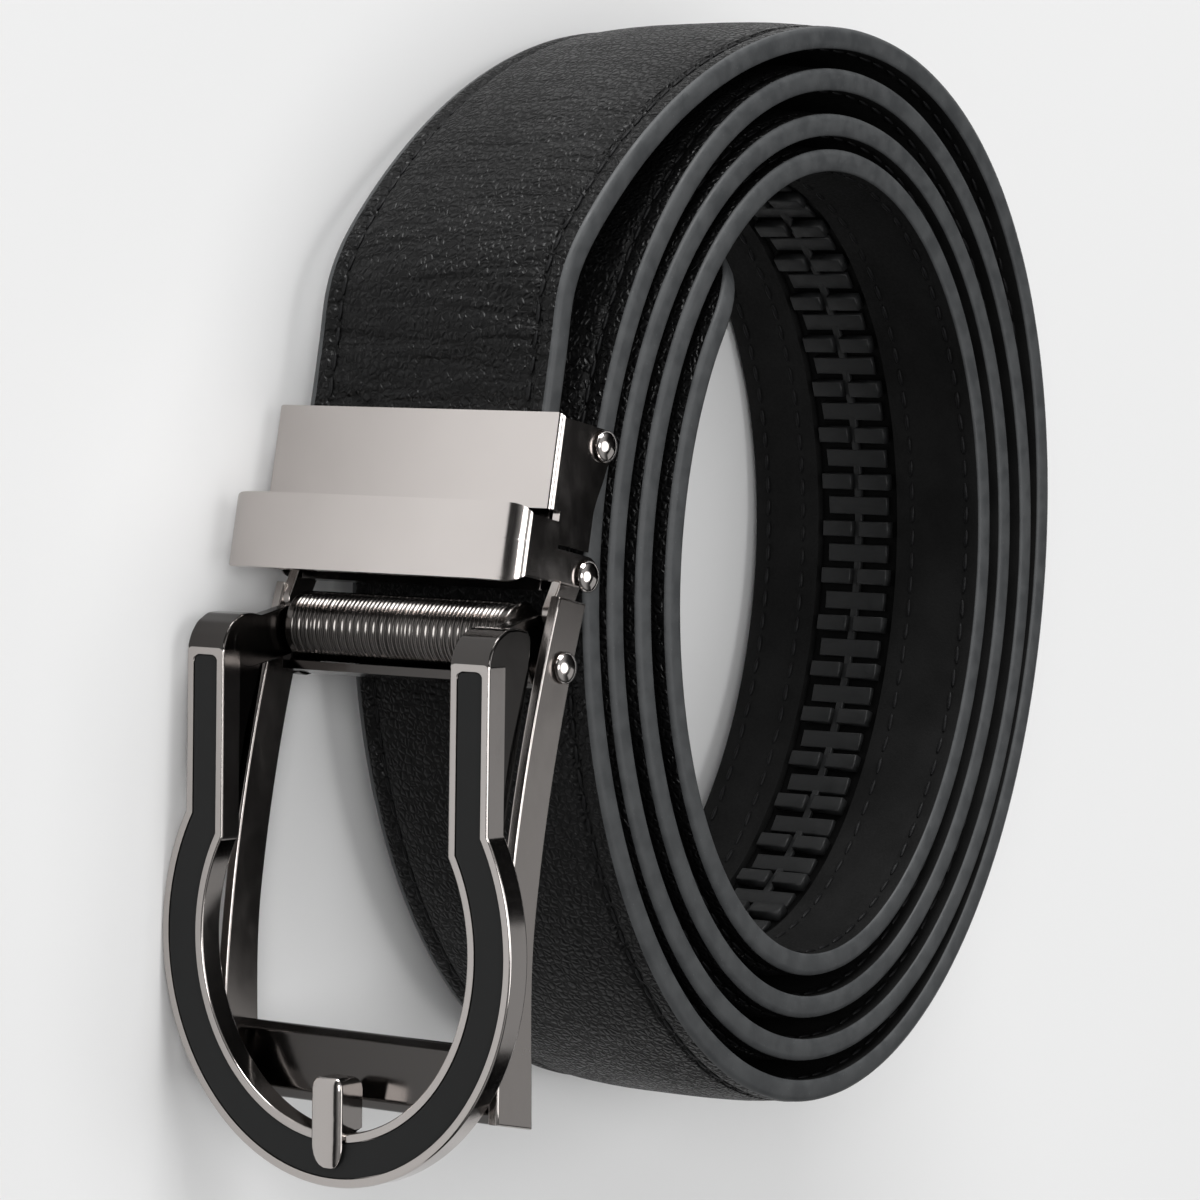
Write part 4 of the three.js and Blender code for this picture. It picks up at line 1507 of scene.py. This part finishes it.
@dataclass
class ClampAndKeeper:
    """The clamp that holds the strap's head, the jaw behind it, and the keeper that the tail passes under."""

    plan: BucklePlan = field(default_factory=BucklePlan)
    top: float = 0.5
    plate_end: float = 11.5
    end: float = 15.2
    front: float = 3.3
    plate: float = 0.95
    plate_bend: Point2 = (0.8, 0.8)
    plate_corner: float = 0.5
    flank_front: float = 1.5
    back: float = -4.7
    ear: float = 2.3
    slope_depth: float = 1.2
    slope_after_pin: float = 1.5
    slope_before_end: float = 4.0
    keeper_top: float = 11.8
    keeper_end: float = 20.6
    keeper_front: float = 9.6
    keeper_foot: float = 1.9
    keeper_plate: float = 1.2
    keeper_bend: Point2 = (2.6, 6.5)
    keeper_corner: float = 1.0
    leg: float = 2.25
    knuckle: float = 2.0
    jaw_front: float = -0.95
    jaw_plate: float = 1.6
    jaw_half: float = 17.6
    jaw_edge: float = 0.25

    def housing(self) -> Mesh:
        """Return the clamp's folded plate with the ears round its pin."""
        pin_down, pin_out = self.plan.clamp_pin
        downs = [mix(self.top, self.plate_end, k / 26) for k in range(27)] + [self.plate_end + 0.001]
        downs += [mix(self.plate_end, self.end, k / 8) for k in range(1, 9)]
        backs = []
        for down in downs:
            reach = self.ear ** 2 - (down - pin_down) ** 2
            ear = pin_out - math.sqrt(reach) if reach > 0 else self.back
            share = smoothstep(down, pin_down + self.slope_after_pin, self.end - self.slope_before_end)
            slope = mix(pin_out - self.slope_depth, self.back, share)
            backs.append(min(ear, slope if down > pin_down else self.back))
        plate = FoldedPlate(self.plan.half, self.front, self.plate_bend, self.plate, downs, backs,
                            self.plate_end, self.flank_front, self.plate_corner)
        return plate.mesh(self.plan.matrix())

    def keeper(self) -> Mesh:
        """Return the keeper's folded bridge with its two legs."""
        pin_down, pin_out = self.plan.keeper_pin
        marks = sorted({mix(self.keeper_top, self.keeper_end, k / 10) for k in range(11)}
                       | {pin_down + self.leg * math.sin(math.pi * k / 12) for k in range(-6, 7)})
        downs, backs = [], []
        for down in marks:
            reach = self.leg ** 2 - (down - pin_down) ** 2
            if abs(abs(down - pin_down) - self.leg) < 1e-6:
                pair = [self.keeper_foot, pin_out]
                downs += [down, down + 0.002]
                backs += pair if down < pin_down else reversed(pair)
            else:
                downs.append(down)
                backs.append(pin_out - math.sqrt(reach) if reach > 1e-6 else self.keeper_foot)
        plate = FoldedPlate(self.plan.keeper_half, self.keeper_front, self.keeper_bend, self.keeper_plate,
                            downs, backs, self.keeper_end + 1, self.keeper_foot + 1.0,
                            self.keeper_corner, self.keeper_corner)
        return plate.mesh(self.plan.matrix())

    def jaw(self) -> Mesh:
        """Return the jaw: a plate with a knuckle on each pin."""
        matrix, flat = self.plan.matrix(), self.plan.flat
        front, back = self.jaw_front, self.jaw_front - self.jaw_plate
        top, end = self.top + 0.3, self.keeper_end - 0.3
        outlines = [[(front, top), (front, end), (back, end), (back, top)]]
        outlines += [link_outline(flat(pin), self.knuckle, (front - self.knuckle, pin[0]), self.knuckle)
                     for pin in (self.plan.clamp_pin, self.plan.keeper_pin)]
        draft = Draft()
        for outline in outlines:
            draft.slab(outline, -self.jaw_half, self.jaw_half, self.jaw_edge, matrix)
        return draft.mesh("clamp_jaw")

    def build(self, bench: Bench) -> None:
        """Make the clamp, jaw, keeper and their pins.

        Args:
            bench: Takes the meshes.
        """
        plan, matrix = self.plan, self.plan.matrix()
        # the jaw takes the darker copy of the nickel, painted shade behind the clamp
        for name, mesh, finish in (("clamp_housing", self.housing(), Finish.NICKEL),
                                   ("keeper_loop", self.keeper(), Finish.NICKEL),
                                   ("clamp_jaw", self.jaw(), Finish.DARK_NICKEL)):
            bench.metal(name, mesh, Body.BELT, finish, name)
        clamp, keeper = plan.half + plan.head_out, plan.keeper_half + plan.head_out
        for pin in (Pin("clamp_pin", plan.clamp_pin, -clamp, clamp),
                    Pin("keeper_pin", plan.keeper_pin, -keeper, keeper)):
            bench.metal(pin.name, pin.mesh(matrix), Body.BELT, Finish.NICKEL, pin.name)


@dataclass
class Frame:
    """The buckle's open frame: two bowed side walls, two tongues on the keeper's pin and the bottom bar."""

    plan: BucklePlan = field(default_factory=BucklePlan)
    top: float = 20.9
    end: float = 80.6
    depth: float = 5.2
    bow: float = 2.6
    front_top: float = -0.5
    front_end: float = -1.7
    flare: float = 1.4
    bar_height: float = 8.6
    bar_bevel: float = 1.1
    tongue: float = 1.8
    tongue_play: float = 0.3

    def front(self, down: float) -> float:
        """Return how far out the walls' front edge lies."""
        share = (down - self.top) / (self.end - self.top)
        return mix(self.front_top, self.front_end, share) + self.bow * (1 - (2 * share - 1) ** 2)

    def back(self, down: float) -> float:
        """Return how far out the walls' back edge lies."""
        share = (down - self.top) / (self.end - self.top)
        return self.front(down) - self.depth - self.flare * smoothstep(share, 0.6, 1.0)

    def bar(self) -> list[Point2]:
        """Return the bottom bar's faceted profile."""
        top, end, b = self.end - self.bar_height, self.end, self.bar_bevel
        corners = [(self.front(top) - 3 * b, top), (self.front(top) - 2 * b, top + b),
                   (self.front(end) - b, end - b), (self.front(end) - 2 * b, end), (self.back(end) + b, end),
                   (self.back(end) + b / 3, end - b), (self.back(top) + b, top + 2 * b),
                   (self.back(top) + 1.5 * b, top)]
        return rounded(corners, [0.35] * len(corners), 3)

    def mesh(self) -> Mesh:
        """Return the frame's mesh: its walls and its tongues."""
        matrix, plan = self.plan.matrix(), self.plan
        downs = [mix(self.top, self.end, k / 40) for k in range(41)]
        wall = [(self.front(d), d) for d in downs] + [(self.back(d), d) for d in reversed(downs)]
        tongue = link_outline(plan.flat(plan.keeper_pin), self.tongue,
                              (self.front_top - self.tongue, self.top + self.tongue), self.tongue)
        inner = plan.keeper_half - 2 * plan.wall - self.tongue_play
        draft = Draft()
        draft.pair(wall, plan.half - plan.wall, plan.half, 0.3, matrix)
        draft.pair(tongue, inner, inner + plan.wall, 0.2, matrix)
        return draft.mesh("frame")

    def crossbar(self) -> Mesh:
        """Return the bottom bar between the walls."""
        draft = Draft()
        reach = self.plan.half - self.plan.wall + 0.3
        draft.slab(self.bar(), -reach, reach, 0.15, self.plan.matrix())
        return draft.mesh("frame_bar")

    def build(self, bench: Bench) -> None:
        """Make the frame and the two rivets that the lever turns on.

        Args:
            bench: Takes the meshes.
        """
        plan = self.plan
        bench.metal("frame", self.mesh(), Body.BELT, Finish.SATIN_NICKEL, "frame")
        # the bottom bar takes the darker copy of the nickel, painted shade
        bench.metal("frame_bar", self.crossbar(), Body.BELT, Finish.DARK_NICKEL)
        head, stub = plan.half + plan.head_out, plan.arm_inner + 0.3
        for rivet in (Pin("lever_rivet_low", plan.lever_pin, -head, -stub, domed_high=False),
                      Pin("lever_rivet_high", plan.lever_pin, stub, head, domed_low=False)):
            bench.metal(rivet.name, rivet.mesh(plan.matrix()), Body.BELT, Finish.NICKEL, rivet.name)


@dataclass
class Lever:
    """The horseshoe lever: ring with rims and arms, enamel inlay, ribbed barrel and false prong."""

    plan: BucklePlan = field(default_factory=BucklePlan)
    half_width: float = 25.7
    half_height: float = 27.6
    centre: float = 33.1
    thickness: float = 3.3
    band: float = 6.2
    rim: float = 1.05
    pocket: float = 0.9
    arm_taper: float = 19.6
    shoulder_depth: float = 7.3
    shoulder_rise: float = 4.9
    lug_radius: float = 2.8
    barrel: RibTree = field(default_factory=RibTree)
    web: float = 1.0
    web_depth: float = 4.0
    prong_width: float = 4.4
    prong_reach: float = 6.4
    prong_over: float = 4.0
    prong_rise: float = 1.3
    prong_swollen: float = 0.14
    prong_falls: float = 0.72
    prong_landing: float = 0.375
    prong_gap: float = 0.24

    def loop(self, by: float, corner: float) -> list[Point2]:
        """Return the horseshoe's outline, drawn inwards: an oval ring with two straight arms on top.

        Args:
            by: How far inside the outer edge.
            corner: Radius of the arms' upper corners.

        Returns:
            The closed outline's corners, always the same number.
        """
        outer = (self.half_width - by, self.half_height - by)
        inner = (self.half_width - self.band + by, self.half_height - self.band + by)
        far, near = self.plan.arm_outer - by, self.plan.arm_inner + by
        outer_meet, inner_meet = math.acos(far / outer[0]), math.acos(near / inner[0])

        def oval(size: Point2, start: float, end: float, steps: int) -> list[Point2]:
            """Return points round part of an oval, from one angle to another."""
            angles = [mix(start, end, k / steps) for k in range(steps + 1)]
            return [(size[0] * math.cos(a), size[1] * math.sin(a) - self.centre) for a in angles]

        def cap(first: float, second: float) -> list[Point2]:
            """Return an arm's upper end between two sides, with both corners rounded."""
            corners = [(first, -by - 6), (first, -by), (second, -by), (second, -by - 6)]
            return rounded(corners, [0, corner, corner, 0])[1:-1]

        made = oval(outer, math.pi - outer_meet, 2 * math.pi + outer_meet, 120)
        made += cap(far, near)
        made += oval(inner, 2 * math.pi + inner_meet, math.pi - inner_meet, 110)
        return made + cap(-near, -far)

    def lofted(self, rings: Sequence[tuple[float, float, float]], name: str) -> Mesh:
        """Return a horseshoe built up from outlines at several depths.

        Args:
            rings: Inset, depth behind the front and corner radius of each outline.
            name: The mesh's name.

        Returns:
            The mesh.
        """
        matrix = self.plan.lever()
        draft = Draft()
        draft.loft([[matrix @ Vector((depth, y, x)) for x, y in self.loop(by, corner)]
                    for by, depth, corner in rings])
        return draft.mesh(name)

    def ring(self) -> Mesh:
        """Return the ring with its rims and its pocket."""
        back, rim = self.thickness, self.rim
        return self.lofted([
            (0.4, back, 0.4), (0.12, back - 0.12, 0.5), (0.0, back - 0.4, 0.6), (0.0, 0.3, 0.6),
            (0.09, 0.09, 0.6), (0.3, 0.0, 0.6), (rim - 0.16, 0.0, 0.9), (rim - 0.04, 0.04, 0.95),
            (rim, 0.16, 1.0), (rim, self.pocket, 1.0)], "ring")

    def arm(self) -> list[Point2]:
        """Return an arm's side profile, from the shoulder to where it runs out behind the ring."""
        down, out = self.plan.lever_top
        slope = math.tan(math.radians(self.plan.lever_slope))
        depth, rise, taper = self.shoulder_depth, self.shoulder_rise, self.arm_taper
        corners = [
            (-0.95 * rise, 0.62 * depth), (-0.86 * rise, 0.36 * depth), (-0.6 * rise, 0.14 * depth),
            (-0.28 * rise, 0.03 * depth), (0.0, 0.035), (0.85, 0.035 + 0.85 * slope),
            (0.85, 1.3 + 0.85 * slope), (taper, 1.3 + taper * slope),
            (taper, self.thickness - 0.1 + taper * slope),
            (0.85 * taper, 0.88 * depth), (0.7 * taper, 0.83 * depth), (0.46 * taper, 0.84 * depth),
            (0.3 * taper, 0.91 * depth), (0.18 * taper, 0.98 * depth), (0.0, depth), (-0.3 * rise, depth),
            (-0.75 * rise, 0.97 * depth), (-0.95 * rise, 0.88 * depth)]
        soft = [0.5, 0.5, 0.6, 0.6, 0, 0, 0, 0, 0.3, 0.8, 0.8, 0.8, 0.8, 0.8, 0.8, 0.8, 0.5, 0.4]
        return rounded([(out - back, down + along) for along, back in corners], soft, 3)

    def body(self) -> Mesh:
        """Return the arms, lugs and the web behind the barrel."""
        plan, matrix, radius = self.plan, self.plan.matrix(), self.lug_radius
        down, out = plan.lever_top
        axis = plan.flat(plan.barrel_axis)
        shoulder = (out - 0.62 * self.shoulder_depth, down - 0.2 * self.shoulder_rise)
        draft = Draft()
        draft.pair(self.arm(), plan.arm_inner + 0.02, plan.arm_outer - 0.02, 0.35, matrix)
        for end in (plan.flat(plan.lever_pin), shoulder):
            draft.pair(link_outline(axis, radius, end, radius), plan.arm_inner, plan.lug_outer, 0.2, matrix)
        top = plan.barrel_axis[0] + self.barrel.radius + 0.3
        middle, reach = plan.barrel_axis[1], self.web_depth / 2
        draft.slab([(middle + reach, top), (middle + reach, top + self.web), (middle - reach, top + self.web),
                    (middle - reach, top)], -plan.arm_inner - 0.8, plan.arm_inner + 0.8, 0.2, matrix)
        return draft.mesh("arms")

    def ribbed_barrel(self) -> Mesh:
        """Return the ribbed barrel in its place."""
        down, out = self.plan.barrel_axis
        mesh = self.barrel.turn()
        mesh.transform(self.plan.matrix() @ Matrix.Translation((out, down, 0.0)))
        return shaded(mesh, 60)

    def prong(self) -> Mesh:
        """Return the false prong: a domed tongue from inside the ring over the inlay."""
        matrix = self.plan.lever()
        inner = self.centre + self.half_height - self.band
        start, tip = inner - self.prong_reach, inner + self.prong_over
        rings = []
        for share in (0.0, 0.01, 0.035, 0.08, 0.14, 0.22, 0.34, 0.46, 0.57, 0.68, 0.78, 0.86, 0.92, 0.965,
                      0.99, 1.0):
            y = -mix(start, tip, share)
            swell = math.sqrt(max(0.0, 1 - (1 - min(share / self.prong_swollen, 1.0)) ** 2))
            past = max(0.0, share - self.prong_falls) / (1 - self.prong_falls)
            fall = math.sqrt(max(0.0, 1 - past ** 2))
            half = self.prong_width / 2 * (0.55 + 0.45 * swell) * (0.22 + 0.78 * fall)
            rise = self.prong_rise * (0.35 + 0.65 * swell) * (0.25 + 0.75 * fall)
            over = -y >= inner - self.prong_landing
            back = -self.prong_gap if over else mix(self.thickness - 1.0, self.thickness, swell)
            side = mix(back, -rise * 0.3, 0.5)
            turns = [math.pi * k / 12 for k in range(13)]
            ring = [(back, -half * 0.96), (side, -half)]
            ring += [(-rise * (0.2 + 0.8 * math.sin(a)), -half * math.cos(a)) for a in turns]
            ring += [(side, half), (back, half * 0.96)]
            rings.append([matrix @ Vector((depth, y, across)) for depth, across in ring])
        draft = Draft()
        draft.loft(rings)
        return draft.mesh("prong")

    def enamel(self) -> Mesh:
        """Return the inlay, a little lower than the rims and rounded at its edges."""
        edge = self.rim + 0.06
        return self.lofted([(edge, 0.75, 0.9), (edge, 0.2, 0.9), (edge + 0.05, 0.12, 0.9),
                            (edge + 0.25, 0.08, 0.9), (edge + 0.8, 0.06, 0.7)], "inlay")

    def build(self, bench: Bench) -> None:
        """Make the lever's pieces.

        Args:
            bench: Takes the meshes.
        """
        bench.metal("lever_ring", self.ring(), Body.LEVER, Finish.SMOKED_NICKEL, "lever_ring")
        # the arms take the darker copy of the nickel, painted shade
        bench.metal("lever_arms", self.body(), Body.LEVER, Finish.DARK_NICKEL)
        bench.metal("inlay", self.enamel(), Body.LEVER, Finish.ENAMEL, "inlay")
        # the barrel takes the darker copy of the nickel, painted shade
        bench.deliver("ribbed_barrel", self.ribbed_barrel(), Body.LEVER, [Finish.BARREL_NICKEL],
                      "ribbed_barrel")
        bench.metal("prong", self.prong(), Body.LEVER, Finish.SMOKED_NICKEL, "prong")


# Studio


@dataclass(frozen=True)
class SoftBox:
    """A studio light, placed by a direction seen from the belt: a square panel, or a wide far-off source."""

    name: str
    towards: tuple[float, float, float]
    size: float
    power: float
    distance: float = 0.0

    def hang(self, target: Vector) -> None:
        """Add the light.

        Args:
            target: The place that it faces.
        """
        data = bpy.data.lights.new(self.name, "AREA" if self.distance else "SUN")
        if self.distance:
            data.size = self.size
        else:
            data.angle = math.radians(self.size)
        data.energy = self.power
        lamp = bpy.data.objects.new(self.name, data)
        way = Vector(self.towards).normalized()
        lamp.location = target + way * (self.distance or 1.0)
        lamp.rotation_euler = way.to_track_quat("Z", "Y").to_euler()
        bpy.context.scene.collection.objects.link(lamp)


@dataclass
class Studio:
    """The floor, the lights and the camera."""

    pose: RestPose
    lens: float = 150.0
    eye: tuple[float, float, float] = (-507.0, 10.95, 361.5)
    right: tuple[float, float, float] = (0.59903, 0.03493, 0.79996)
    up: tuple[float, float, float] = (0.0, 0.99905, -0.04362)
    lights: tuple[SoftBox, ...] = (
        SoftBox("from_camera", (-0.72, 0.12, 0.66), 24.0, 1.04),
        SoftBox("overhead", (0.06, 0.03, 1.0), 45.0, 1.17),
        SoftBox("upper_left", (-0.2, 0.94, 0.22), 0.75, 26.0, 1.5),
        SoftBox("wall_glow", (0.165, -0.085, 0.154), 0.16, 0.03, 0.245),
    )
    paper: Matte = Matte("studio_paper", (0.8, 0.8, 0.8), (0.808, 0.808, 0.808), specular=0.1,
                         roughness=(0.95, 0.95), cloud=9.0, cloud_detail=2.0)
    floor_reach: float = 3.0
    sky: float = 0.34
    dark_side: Vector = field(default_factory=lambda: Vector((0.8, 0.0, 0.6)))
    dark_sky: float = 0.006
    dark_span: Point2 = (0.45, 0.8)
    horizon_span: Point2 = (0.2, 0.6)
    horizon_share: float = 0.08

    def floor(self) -> None:
        """Lay the pale floor."""
        mesh = bpy.data.meshes.new("studio_floor")
        reach = self.floor_reach
        corners = [(-reach, -reach, 0), (reach, -reach, 0), (reach, reach, 0), (-reach, reach, 0)]
        mesh.from_pydata(corners, [], [(0, 1, 2, 3)])
        mesh.materials.append(self.paper.material())
        posed("studio_floor", mesh)

    def room(self) -> None:
        """Light the room softly from above, with a dark horizon and a black cloth behind the belt."""
        world = bpy.data.worlds.new("studio")
        world.use_nodes = True
        graph = Graph(world.node_tree)
        way = graph.node("TexCoord").outputs["Generated"]

        def towards(direction: Vector) -> Socket:
            """Return how far a place in the sky lies towards a direction."""
            return graph.node("VectorMath", {0: way, 1: direction}, operation="DOT_PRODUCT").outputs["Value"]

        side = graph.ramp(towards(self.dark_side), *self.dark_span, self.sky, self.dark_sky)
        height = graph.ramp(towards(Vector((0.0, 0.0, 1.0))), *self.horizon_span, self.horizon_share, 1.0)
        background = graph.tree.nodes["Background"]
        background.inputs["Color"].default_value = (1.0, 1.0, 1.0, 1.0)
        graph.feed(background.inputs["Strength"], graph.times(side, height))
        bpy.context.scene.world = world

    def camera(self) -> None:
        """Set the camera at the photograph's angle."""
        data = bpy.data.cameras.new("camera")
        data.lens = self.lens
        data.sensor_width = 36.0
        data.clip_start, data.clip_end = 0.01, 20.0
        right, up = Vector(self.right), Vector(self.up)
        turn = Matrix((right, up, right.cross(up))).transposed().to_4x4()
        camera = bpy.data.objects.new("camera", data)
        place = self.pose.matrix() @ Vector(self.eye)
        turned = (self.pose.turn() @ turn).to_quaternion().to_matrix().to_4x4()
        camera.matrix_world = Matrix.Translation(place) @ turned
        bpy.context.scene.collection.objects.link(camera)
        bpy.context.scene.camera = camera

    def build(self) -> None:
        """Set up the whole studio."""
        self.camera()
        self.floor()
        self.room()
        for light in self.lights:
            light.hang(Vector((0.0, 0.0, 0.03)))
        bpy.context.scene.view_settings.view_transform = "Standard"


def main() -> None:
    """Build the belt piece by piece, then the studio."""
    logging.basicConfig(level=logging.INFO, format="%(message)s")
    bench = Bench(RestPose())
    for part in (Strap(), ClampAndKeeper(), Frame(), Lever()):
        part.build(bench)
    Studio(bench.pose).build()
    LOG.info("%d pieces made", len(bench.made))


if __name__ == "__main__":
    main()
